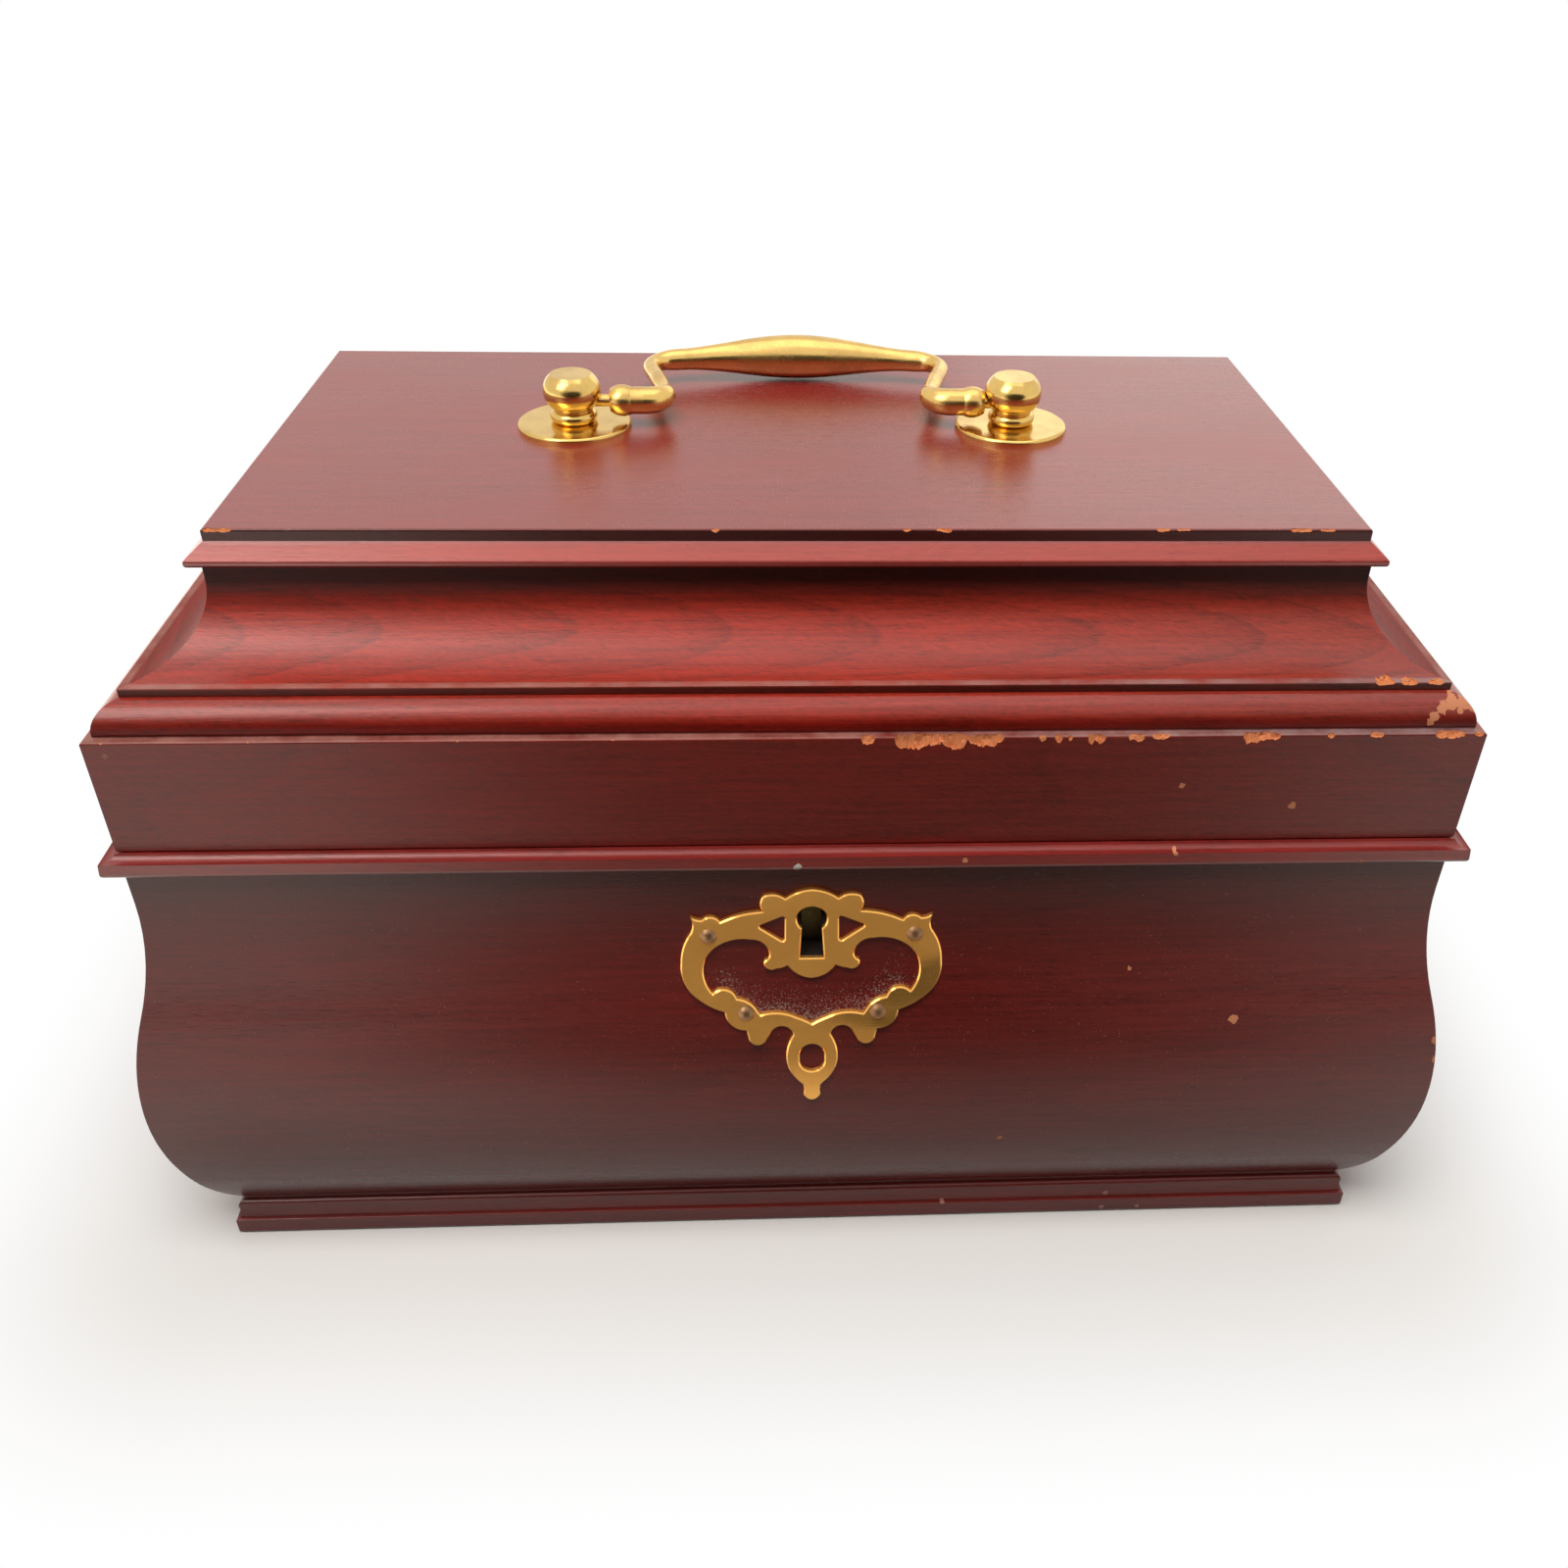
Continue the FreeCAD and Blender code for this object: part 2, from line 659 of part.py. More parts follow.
esc_outer = [
    (0.0, 7.1),
    ((2.6, 6.5), (5.1, 4.9)),
    ((7.3, 6.0), (9.35, 5.55)),
    ((9.9, 4.1), (9.5, 1.9)),
    ((13.9, 1.2), (17.6, -0.4)),
    ((19.4, 0.85), (21.1, 0.1)),
    ((22.2, 0.25), (23.3, 0.9)),
    ((22.95, -0.9), (23.3, -2.7)),
    ((24.9, -5.9), (25.5, -9.5)),
    ((25.15, -13.4), (23.8, -16.0)),
    ((20.7, -18.6), (17.2, -20.1)),
    ((15.9, -22.9), (13.0, -24.0)),
    (12.6, -25.6),
    ((10.9, -27.3), (9.1, -26.2)),
    (7.9, -24.1),
    ((5.9, -23.2), (3.7, -25.0)),
    ((5.15, -30.4), (2.1, -36.6)),
    ((1.65, -37.6), (1.65, -38.8)),
    ((1.15, -40.5), (0.0, -41.0)),
]
esc_kidney = [
    (0.0, -13.2),
    ((2.7, -12.4), (4.7, -10.4)),
    ((5.8, -10.9), (7.0, -11.1)),
    ((9.1, -10.7), (9.3, -9.3)),
    ((8.45, -8.6), (8.3, -7.7)),
    ((9.3, -5.6), (12.0, -4.55)),
    ((17.4, -5.4), (20.5, -8.4)),
    ((21.15, -11.8), (19.5, -16.2)),
    ((16.9, -15.3), (14.8, -17.3)),
    ((12.8, -17.9), (11.3, -19.1)),
    (10.2, -20.7),
    ((6.5, -20.3), (3.2, -21.2)),
    ((1.5, -21.9), (0.0, -22.7)),
]
esc_triangle = [(5.2, 0.9), (10.5, -1.5), (5.3, -5.3)]
esc_y = -half_d - 2 * BELLY_SWELL
esc_depth = 2 * BELLY_SWELL + PANEL_T


def on_front(sign):
    return lambda p: Vector(LOCK_X + sign * p[0], esc_y, key_z + p[1])


def front_prism(edges):
    return face_of(edges).extrude(Vector(0, esc_depth, 0))


def both_halves(outline):
    edges = []
    for sign in (1, -1):
        edges += edge_chain(on_front(sign), outline[0], outline[1:])
    return front_prism(edges)


tri_steps = []
for index, corner in enumerate(esc_triangle):
    tri_steps += rounded(esc_triangle[index - 1], corner, esc_triangle[(index + 1) % 3], TRIANGLE_R)
piercings = [both_halves(esc_kidney), keyhole(esc_y, esc_y + esc_depth)]
for sign in (1, -1):
    last_point = tri_steps[-1][1]
    piercings.append(front_prism(edge_chain(on_front(sign), last_point, tri_steps)))
ring_low = RING_FOOT + RING_X
ring_high = RING_TOP - RING_X
ring_steps = [
    (RING_X, ring_high),
    ((0.0, RING_TOP), (-RING_X, ring_high)),
    (-RING_X, ring_low),
    ((0.0, RING_FOOT), (RING_X, ring_low)),
]
piercings.append(front_prism(edge_chain(on_front(1), ring_steps[-1][1], ring_steps)))

panel_run = bar_along_x(panel_profile, half_d, half_w / 2)
plate_run = panel_run.copy()
plate_run.translate(Vector(0, -ESC_T, 0))
escutcheon = both_halves(esc_outer).cut(piercings).common(plate_run).cut(panel_run)

# Escutcheon pins: domed heads square to the plate, shanks that stop short of the lock's pocket

pin_front_y = half_d + front_surface(key_z + UPPER_PIN[1])[0] + ESC_T
pin_depth = pin_front_y + case_y - POCKET_CLEAR - PIN_TIP_CLEAR
head_sphere = (PIN_HEAD_R ** 2 + PIN_HEAD_H ** 2) / (2 * PIN_HEAD_H)
dome_via_angle = math.asin(PIN_HEAD_R / head_sphere) / 2
dome_via = (
    head_sphere * math.sin(dome_via_angle),
    PIN_HEAD_H - head_sphere + head_sphere * math.cos(dome_via_angle),
)
pin = revolved(
    [(PIN_HEAD_R, 0.0), (dome_via, (0.0, PIN_HEAD_H)), (0.0, -pin_depth), (PIN_R, -pin_depth), (PIN_R, 0.0)],
    (PIN_R, 0.0),
)
shank = cylinder(PIN_R, Vector(0, 0, -pin_depth), Vector(0, 0, 1), pin_depth)
pins = []
for x, rise in (UPPER_PIN, LOWER_PIN):
    z = key_z + rise
    depth, tilt = front_surface(z)
    for sign in (-1, 1):
        spot = Vector(LOCK_X + sign * x, -(half_d + depth + ESC_T), z)
        hole = placed(shank, Vector(1, 0, 0), 90 - tilt, spot)
        escutcheon = escutcheon.cut(hole)
        parts["front_panel"] = parts["front_panel"].cut(hole)
        seat = Vector(0, -math.cos(math.radians(tilt)), math.sin(math.radians(tilt))) * PIN_SEAT
        pins.append(placed(pin, Vector(1, 0, 0), 90 - tilt, spot + seat))
parts["escutcheon"] = escutcheon
parts["escutcheon_pins"] = Part.makeCompound(pins)

# Butt hinges let into the rim and the lid's back rail, knuckles standing out at the back

axis_y = half_d + HINGE_OUT
axis_z = (z_joint + z_lid) / 2
leaf_y0 = half_d - HINGE_LEAF_W
leaf_y1 = axis_y - KNUCKLE_R - KNUCKLE_GAP
knuckle_l = HINGE_L / KNUCKLES
along_x = Vector(1, 0, 0)


def hinge_leaf(middle, z0, z1, odd):
    """One leaf with every other knuckle; odd picks which ones."""
    left = middle - HINGE_L / 2
    leaf = box(left, left + HINGE_L, leaf_y0, leaf_y1, z0, z1)
    for index in range(odd, KNUCKLES, 2):
        x0 = left + index * knuckle_l + KNUCKLE_GAP / 2
        length = knuckle_l - KNUCKLE_GAP
        barrel = cylinder(KNUCKLE_R, Vector(x0, axis_y, axis_z), along_x, length)
        leaf = leaf.fuse([barrel, box(x0, x0 + length, leaf_y1, axis_y, z0, z1)])
    bore_r = HINGE_PIN_R + (RUN_CLEAR if odd else 0.0)
    return leaf.cut(cylinder(bore_r, Vector(left, axis_y, axis_z), along_x, HINGE_L)).removeSplitter()


body_screws = []
lid_screws = []
for side, middle in (("left", HINGE_INSET - half_w), ("right", half_w - HINGE_INSET)):
    left = middle - HINGE_L / 2
    body_leaf = hinge_leaf(middle, z_joint - HINGE_LEAF_T, z_joint, 0)
    lid_leaf = hinge_leaf(middle, z_lid, z_lid + HINGE_LEAF_T, 1)
    room = cylinder(
        KNUCKLE_R + KNUCKLE_CLEAR,
        Vector(left - KNUCKLE_CLEAR, axis_y, axis_z),
        along_x,
        HINGE_L + 2 * KNUCKLE_CLEAR,
    )
    screw_y = (leaf_y0 + leaf_y1) / 2
    body_cuts = [room, box(left, left + HINGE_L, leaf_y0, axis_y, z_joint - HINGE_LEAF_T, z_joint)]
    lid_cuts = [room, box(left, left + HINGE_L, leaf_y0, axis_y, z_lid, z_lid + HINGE_LEAF_T)]
    for x in (middle - HINGE_L / 3, middle, middle + HINGE_L / 3):
        down = Vector(x, screw_y, z_joint)
        up = Vector(x, screw_y, z_lid)
        body_cuts.append(placed(screw(SCREW_L), along_x, 0, down))
        lid_cuts.append(placed(screw(SCREW_L), along_x, 180, up))
        body_screws.append(placed(slotted(screw(SCREW_L)), along_x, 0, down))
        lid_screws.append(placed(slotted(screw(SCREW_L)), along_x, 180, up))
    parts["hinge_body_leaf_" + side] = body_leaf.cut(body_cuts[2:])
    parts["hinge_lid_leaf_" + side] = lid_leaf.cut(lid_cuts[2:])
    parts["hinge_pin_" + side] = cylinder(HINGE_PIN_R, Vector(left, axis_y, axis_z), along_x, HINGE_L)
    parts["rim_back"] = parts["rim_back"].cut(body_cuts)
    parts["back_panel"] = parts["back_panel"].cut(body_cuts[2:])
    parts["lid_frieze_back"] = parts["lid_frieze_back"].cut(lid_cuts)
parts["hinge_body_screws"] = Part.makeCompound(body_screws)
parts["hinge_lid_screws"] = Part.makeCompound(lid_screws)

# Handle posts: a collar, a waist and a squat flat-topped ball on a stud that passes through the lid

board_under = z_eave - FIELD_DROP
waist_top = ROSE_T + COLLAR_H + WAIST_H
ball_h = waist_top + BALL_H / 2
belly = BALL_R - WAIST_R
belly_r = ((BALL_H / 2) ** 2 + belly ** 2) / (2 * belly)
ease_h = BALL_H / 2 - BALL_EASE
ease_in = math.sqrt(belly_r ** 2 - ease_h ** 2)
ease_start = (BALL_R - belly_r + ease_in, ball_h + ease_h)
flat_edge = (BALL_FLAT_R, ball_h + BALL_H / 2)
pivot_h = ball_h - PIVOT_DROP
stud_z = board_under - z_top - STUD_BELOW
post_profile = [
    (STUD_R, stud_z),
    (STUD_R, ROSE_T),
    (WAIST_R, ROSE_T),
    ((COLLAR_R, ROSE_T + COLLAR_H / 2), (WAIST_R, ROSE_T + COLLAR_H)),
    (WAIST_R, waist_top),
    ((BALL_R, ball_h), ease_start),
    (tangent_via(ease_start, (-ease_h, ease_in), flat_edge), flat_edge),
    (0.0, ball_h + BALL_H / 2),
    (0.0, stud_z),
]
rose_round = ROSE_EDGE * (1 - diagonal)
rose_profile = [
    (ROSE_R, 0.0),
    (ROSE_R, ROSE_T - ROSE_EDGE),
    ((ROSE_R - rose_round, ROSE_T - rose_round), (ROSE_R - ROSE_EDGE, ROSE_T)),
    (STUD_R, ROSE_T),
    (STUD_R, 0.0),
]
washers = []
nuts = []
for side, sign in (("left", -1), ("right", 1)):
    spot = Vector(sign * POST_X, POST_Y, z_top)
    inward = Vector(-sign, 0, 0)
    hole_start = spot + Vector(sign * (BAIL_PIN_REACH + BAIL_HOLE_END), 0, pivot_h)
    pin_hole = cylinder(BAIL_PIN_R + RUN_CLEAR, hole_start, inward, 2 * BALL_R)
    post = revolved(post_profile, (0.0, stud_z))
    post.translate(spot)
    rose = revolved(rose_profile, (STUD_R, 0.0))
    rose.translate(spot)
    parts["handle_post_" + side] = post.cut(pin_hole)
    parts["handle_rose_" + side] = rose
    stud_hole = cylinder(STUD_R, Vector(spot.x, spot.y, board_under), Vector(0, 0, 1), z_top - board_under)
    parts["lid_top_board"] = parts["lid_top_board"].cut(stud_hole)
    washer_spot = Vector(spot.x, spot.y, board_under - WASHER_T)
    washer = cylinder(WASHER_R, washer_spot, Vector(0, 0, 1), WASHER_T)
    washers.append(washer.cut(cylinder(STUD_R, washer_spot, Vector(0, 0, 1), WASHER_T)))
    nut_r = NUT_AF / math.sqrt(3)
    nut_spot = washer_spot - Vector(0, 0, NUT_H)
    corners = []
    for index in range(7):
        turn = math.radians(60 * index)
        corners.append(nut_spot + Vector(nut_r * math.cos(turn), nut_r * math.sin(turn), 0))
    nut = Part.Face(Part.makePolygon(corners)).extrude(Vector(0, 0, NUT_H))
    nuts.append(nut.cut(cylinder(STUD_R, nut_spot, Vector(0, 0, 1), NUT_H)))
parts["handle_washers"] = Part.makeCompound(washers)
parts["handle_nuts"] = Part.makeCompound(nuts)

# Bail: pin, arm, a bend, a thin neck that leans out, a shoulder and an arched grip that swells to the middle.
# It is drawn flat in (x, y) about the pivot line, then laid back on the lid and slid to the right in its holes.

lean = math.radians(NECK_LEAN)
slope = math.radians(GRIP_SLOPE)
bend_turn = math.pi / 2 + lean
shoulder_turn = bend_turn - slope
shoulder_y = SHOULDER_Y - SHOULDER_R * math.cos(slope)
neck_foot_x = BEND_X - BEND_R * math.cos(lean)
neck_foot_y = BEND_R + BEND_R * math.sin(lean)
neck_top_y = shoulder_y - SHOULDER_R * math.sin(lean)
neck_top_x = neck_foot_x + (neck_top_y - neck_foot_y) * math.tan(lean)
shoulder_x = neck_top_x - SHOULDER_R * math.cos(lean)
grip_x = shoulder_x + SHOULDER_R * math.sin(slope)
grip_arch = grip_x * math.tan(slope) / 2
grip_y = SHOULDER_Y + grip_arch


def section(x, y, way_x, way_y, radius):
    """Circle of the bail's section at (x, y), square to its heading."""
    circle = Part.makeCircle(radius)
    across = Vector(-way_y, way_x, 0)
    circle.Placement = FreeCAD.Placement(
        Vector(x, y, 0), FreeCAD.Rotation(Vector(0, 0, 1), across, Vector(way_x, way_y, 0), "XZY")
    )
    return Part.Wire(circle)


sections = []
for step in range(BEND_STEPS + 1):
    share = step / BEND_STEPS
    turn = bend_turn * share
    radius = ARM_R + (NECK_R - ARM_R) * share ** 2
    x = BEND_X - BEND_R * math.sin(turn)
    y = BEND_R - BEND_R * math.cos(turn)
    sections.append(section(x, y, -math.cos(turn), math.sin(turn), radius))
for step in range(1, NECK_STEPS):
    share = step / NECK_STEPS
    x = neck_foot_x + (neck_top_x - neck_foot_x) * share
    y = neck_foot_y + (neck_top_y - neck_foot_y) * share
    sections.append(section(x, y, math.sin(lean), math.cos(lean), NECK_R))
for step in range(BEND_STEPS + 1):
    share = step / BEND_STEPS
    turn = shoulder_turn * share - lean
    radius = NECK_R + (GRIP_END_R - NECK_R) * share ** 2
    x = shoulder_x + SHOULDER_R * math.cos(turn)
    y = shoulder_y + SHOULDER_R * math.sin(turn)
    sections.append(section(x, y, -math.sin(turn), math.cos(turn), radius))
for step in range(1, GRIP_STEPS + 1):
    share = step / GRIP_STEPS
    radius = GRIP_END_R + (GRIP_R - GRIP_END_R) * math.sin(share * math.pi / 2) ** 2
    here = slope * (1 - share)
    y = grip_y - grip_arch * (1 - share) ** 2
    sections.append(section(grip_x * (1 - share), y, -math.cos(here), math.sin(here), radius))
loop = Part.makeLoft(sections, True, False)

bead_mid = ARM_OUT - BEAD_L / 2
arm_profile = [
    (ARM_R, BEND_X),
    (ARM_R, ARM_OUT - BEAD_L),
    ((BEAD_R, bead_mid), (ARM_R - (BEAD_R - ARM_R), ARM_OUT)),
    (BAIL_PIN_R, ARM_OUT),
    (BAIL_PIN_R, POST_X + BAIL_PIN_REACH),
    (0.0, POST_X + BAIL_PIN_REACH),
    (0.0, BEND_X),
]
arm = revolved(arm_profile, (0.0, BEND_X))
arm.rotate(Vector(0, 0, 0), Vector(0, 1, 0), 90)
half_bail = loop.fuse(arm)
bail = half_bail.fuse(half_bail.mirror(Vector(0, 0, 0), Vector(1, 0, 0))).removeSplitter()
lay_back = math.degrees(math.asin((pivot_h - GRIP_R - REST_GAP) / grip_y))
bail.rotate(Vector(0, 0, 0), along_x, -lay_back)
bail.translate(Vector(BAIL_SLID, POST_Y, z_top + pivot_h))
parts["bail_handle"] = bail

# Write one file for each piece

os.makedirs("parts", exist_ok=True)
for name, shape in parts.items():
    shape.exportStep("parts/" + name + ".step")
    print(name, len(shape.Solids), round(shape.Volume, 1), shape.isValid())
print("lay back angle", round(lay_back, 3), "pivot", POST_Y, round(z_top + pivot_h, 3))
print("hinge axis", round(axis_y, 3), round(axis_z, 3))
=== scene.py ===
import math

import bmesh
import bpy
import numpy
from mathutils import Matrix, Vector, noise


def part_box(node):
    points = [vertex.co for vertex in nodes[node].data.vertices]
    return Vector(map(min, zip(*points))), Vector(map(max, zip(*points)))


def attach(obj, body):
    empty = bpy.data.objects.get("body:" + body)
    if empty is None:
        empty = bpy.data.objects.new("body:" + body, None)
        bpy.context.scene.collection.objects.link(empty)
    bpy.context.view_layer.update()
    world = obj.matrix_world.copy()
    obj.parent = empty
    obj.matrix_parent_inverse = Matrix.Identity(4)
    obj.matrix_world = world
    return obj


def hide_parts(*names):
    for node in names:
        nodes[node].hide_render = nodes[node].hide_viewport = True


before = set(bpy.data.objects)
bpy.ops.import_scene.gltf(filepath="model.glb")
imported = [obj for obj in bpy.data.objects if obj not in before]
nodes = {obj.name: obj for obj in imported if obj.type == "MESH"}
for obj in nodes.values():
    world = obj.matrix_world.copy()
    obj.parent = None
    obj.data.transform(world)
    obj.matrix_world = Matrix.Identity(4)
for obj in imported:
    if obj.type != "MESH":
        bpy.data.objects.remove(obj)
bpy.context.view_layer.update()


# Plinth: four mitred lengths of mahogany moulding that the box stands on, with the bottom board between
# them. Flat-sawn wood, stained red-brown and sprayed with a satin lacquer. It is glued under the panels.
# Its front has a few small knocks.

def add_node(tree, kind, inputs=None, **settings):
    """One shader node, with its inputs given as values or as the sockets that feed them."""
    made = tree.nodes.new(kind)
    for name, value in settings.items():
        setattr(made, name, value)
    for name, value in (inputs or {}).items():
        if isinstance(value, bpy.types.NodeSocket):
            tree.links.new(value, made.inputs[name])
        else:
            made.inputs[name].default_value = value
    return made


def maths(tree, operation, first, second=0.0, third=0.0):
    inputs = {0: first, 1: second, 2: third}
    return add_node(tree, "ShaderNodeMath", inputs, operation=operation).outputs[0]


def grained_noise(tree, place, along, across, detail=2.0, roughness=0.5):
    """Noise with that many features to the metre along the grain and across it."""
    scaled = add_node(tree, "ShaderNodeMapping", {"Vector": place, "Scale": (along, across, across)})
    inputs = {"Vector": scaled.outputs[0], "Scale": 1.0, "Detail": detail, "Roughness": roughness}
    return add_node(tree, "ShaderNodeTexNoise", inputs).outputs[0]


def ramp(tree, factor, stops):
    """Grey value that follows the stops, given as pairs of position and value."""
    made = add_node(tree, "ShaderNodeValToRGB", {"Fac": factor})
    elements = made.color_ramp.elements
    while len(elements) < len(stops):
        elements.new(1.0)
    for element, (position, value) in zip(elements, stops):
        element.position = position
        element.color = (value, value, value, 1.0)
    return made.outputs[0]


def blend_colours(tree, factor, first, second):
    inputs = {0: factor, 6: first, 7: second}
    return add_node(tree, "ShaderNodeMix", inputs, data_type="RGBA").outputs[2]


def object_place(tree):
    return add_node(tree, "ShaderNodeTexCoord").outputs["Object"]


def mahogany(name, turn, stain, board, spread=0.45, lean=0, figure=0.3, slope=0.05, gloss=0.3,
             shine=0.4, silk=0.25):
    """Stained flat-sawn wood. turn is the side's angle and lean the face's tilt up from upright, in degrees.
    board moves the pattern along the log, so that no two boards are alike. spread is how far the stain goes
    lighter and darker, figure is how dark the rings are, slope is how fast they run out of the face, and
    silk is the strength of the short slanting flecks."""
    material = bpy.data.materials.new(name)
    material.use_nodes = True
    tree = material.node_tree
    lacquer = tree.nodes["Principled BSDF"]
    turned = add_node(
        tree, "ShaderNodeMapping", {"Vector": object_place(tree), "Rotation": (0, 0, -math.radians(turn))}
    )
    laid = add_node(tree, "ShaderNodeMapping", {
        "Vector": turned.outputs[0],
        "Rotation": (math.radians(lean - 90), 0, 0),
        "Location": (board, 0.37 * board, 0.11 * board),
    })
    grain = laid.outputs[0]
    axes = add_node(tree, "ShaderNodeSeparateXYZ", {0: grain})

    # Growth rings: nearly level with the face, so that they run out in long pointed arches
    ring_width = 0.0024
    ring_swing = 0.009
    wander = grained_noise(tree, grain, 7.0, 30.0, detail=1.5)
    rise = maths(tree, "MULTIPLY_ADD", axes.outputs["X"], slope, axes.outputs["Z"])
    rise = maths(tree, "MULTIPLY_ADD", wander, ring_swing, rise)
    ring = maths(tree, "FRACT", maths(tree, "DIVIDE", rise, ring_width))
    late_wood = ramp(tree, ring, [(0.0, 0.0), (0.6, 0.1), (0.88, 0.55), (0.96, 1.0), (1.0, 0.0)])

    # Fibres, short pores and a cloudy take-up of the stain
    fibre = grained_noise(tree, grain, 38.0, 1000.0, detail=4.0, roughness=0.7)
    cloud = grained_noise(tree, grain, 11.0, 34.0, detail=3.0, roughness=0.6)
    fleck = grained_noise(tree, grain, 330.0, 2600.0, detail=2.0)
    pores = ramp(tree, fleck, [(0.56, 0.0), (0.74, 1.0)])
    fleck_slant = 0.3
    slanted = add_node(tree, "ShaderNodeMapping", {"Vector": grain, "Rotation": (0, 0, fleck_slant)})
    flecks = grained_noise(tree, slanted.outputs[0], 480.0, 2300.0, detail=3.0, roughness=0.65)
    flecks = maths(tree, "SUBTRACT", ramp(tree, flecks, [(0.36, 0.0), (0.64, 1.0)]), 0.5)

    # Each pattern lightens or darkens the stain by its share, from a tone a little under the middle
    tone = -0.40
    shares = ((fibre, 1.5), (cloud, 0.55), (late_wood, -figure), (pores, -0.35), (flecks, silk))
    for pattern, share in shares:
        tone = maths(tree, "MULTIPLY_ADD", pattern, share, tone)
    light = [part * (1 + spread) for part in stain]
    dark = [part * (1 - spread) for part in stain]
    stained = blend_colours(tree, tone, (*dark, 1.0), (*light, 1.0))
    tree.links.new(stained, lacquer.inputs["Base Color"])

    cloudy_gloss = 0.16
    pore_depth = 0.6
    sheen = maths(tree, "MULTIPLY_ADD", cloud, cloudy_gloss, gloss - cloudy_gloss / 2)
    tree.links.new(sheen, lacquer.inputs["Roughness"])
    lacquer.inputs["Specular IOR Level"].default_value = shine
    relief = maths(tree, "MULTIPLY_ADD", pores, -pore_depth, fibre)
    bump = add_node(tree, "ShaderNodeBump", {"Height": relief, "Strength": 0.12, "Distance": 0.0003})
    tree.links.new(bump.outputs[0], lacquer.inputs["Normal"])
    return material


def finish_node(node, material):
    nodes[node].material_slots[0].material = material


sides = {"front": 0, "right": 90, "back": 180, "left": 270}
plinth_stain = (0.15, 0.014, 0.011)
for side, turn in sides.items():
    plinth = "plinth_" + side
    plinth_wood = mahogany(
        plinth + "_wood", turn, plinth_stain, figure=0.15, board=turn / 47 + 3.1, shine=0.55
    )
    finish_node(plinth, plinth_wood)
finish_node("bottom_board", mahogany("bottom_wood", 0, plinth_stain, lean=90, board=5.3))


def overlay(material, mask, colour, roughness):
    """Lays a colour and a roughness over a finish where the mask is 1."""
    tree = material.node_tree
    shader = tree.nodes["Principled BSDF"]
    base = shader.inputs["Base Color"].links[0].from_socket
    tree.links.new(blend_colours(tree, mask, base, (*colour, 1.0)), shader.inputs["Base Color"])
    below = shader.inputs["Roughness"].links[0].from_socket
    rough = add_node(tree, "ShaderNodeMix", {0: mask, 2: below, 3: roughness}).outputs[0]
    tree.links.new(rough, shader.inputs["Roughness"])


def ragged(tree, place, features, size):
    """A wandering length of up to half the size, for broken edges."""
    rough = grained_noise(tree, place, features, features, detail=3.0, roughness=0.6)
    return maths(tree, "MULTIPLY", maths(tree, "SUBTRACT", rough, 0.5), size)


bare_wood = (0.70, 0.27, 0.14)
rubbed_wood = (0.45, 0.22, 0.18)


def nick(material, x, z, radius, colour=bare_wood):
    """A small ragged dent through the lacquer of a front face."""
    tree = material.node_tree
    place = object_place(tree)
    level = add_node(tree, "ShaderNodeVectorMath", {0: place, 1: (1, 0, 1)}, operation="MULTIPLY").outputs[0]
    centre = {0: level, 1: (x, 0, z)}
    away = add_node(tree, "ShaderNodeVectorMath", centre, operation="DISTANCE").outputs["Value"]
    splinters = 1100.0
    raw_roughness = 0.75
    edge = maths(tree, "ADD", away, ragged(tree, place, splinters, 1.8 * radius))
    overlay(material, maths(tree, "LESS_THAN", edge, radius), colour, raw_roughness)


plinth_nicks = (
    (0.0320, 0.0044, 0.0005), (0.0696, 0.0053, 0.0006),
    (0.0690, 0.0016, 0.0006), (0.0772, 0.0016, 0.0005),
)
front_plinth = nodes["plinth_front"].material_slots[0].material
for x, z, radius in plinth_nicks:
    nick(front_plinth, x, z, radius, colour=rubbed_wood)


# Body panels: thick mahogany boards worked to an ogee that swells to the belly, mitred and glued at the
# corners. The stain is deepest here, and shade is painted on darker under the rim. A few nicks show the raw
# wood.

def tinted_band(material, low, high, tint, soft=0.0002, shine=1.0, axis="Z"):
    """Multiplies the colour by a tint, and the lacquer's shine by a share, between two heights on the axis.
    It paints shade into quirks and under overhangs, highlights onto rounds, a reflection under the bail, and
    plain tints."""
    tree = material.node_tree
    shader = tree.nodes["Principled BSDF"]
    height = add_node(tree, "ShaderNodeSeparateXYZ", {0: object_place(tree)}).outputs[axis]
    passed = []
    for level in (low, high):
        step_inputs = {"Value": height, "From Min": level - soft, "From Max": level + soft}
        passed.append(add_node(tree, "ShaderNodeMapRange", step_inputs).outputs[0])
    inside = maths(tree, "SUBTRACT", *passed)
    if shine != 1.0:
        level = shader.inputs["Specular IOR Level"]
        below = level.links[0].from_socket if level.links else level.default_value
        dulled = maths(tree, "MULTIPLY_ADD", inside, shine - 1.0, 1.0)
        tree.links.new(maths(tree, "MULTIPLY", dulled, below), level)
    inputs = {
        0: inside,
        6: shader.inputs["Base Color"].links[0].from_socket,
        7: (*tint, 1.0),
    }
    tinted = add_node(tree, "ShaderNodeMix", inputs, data_type="RGBA", blend_type="MULTIPLY").outputs[2]
    tree.links.new(tinted, shader.inputs["Base Color"])


def dusted(material, gathered):
    """Pale specks of dust, sparse all over and thicker where the gathered value is higher."""
    tree = material.node_tree
    place = object_place(tree)
    fine = grained_noise(tree, place, 2900.0, 2900.0, detail=1.0)
    patchy = grained_noise(tree, place, 160.0, 160.0, detail=3.0)
    height = maths(tree, "ADD", maths(tree, "MULTIPLY_ADD", patchy, 0.22, fine), gathered)
    specks = ramp(tree, height, [(0.84, 0.0), (0.99, 0.7)])
    grey_dust = (0.40, 0.31, 0.28)
    overlay(material, specks, grey_dust, 0.9)


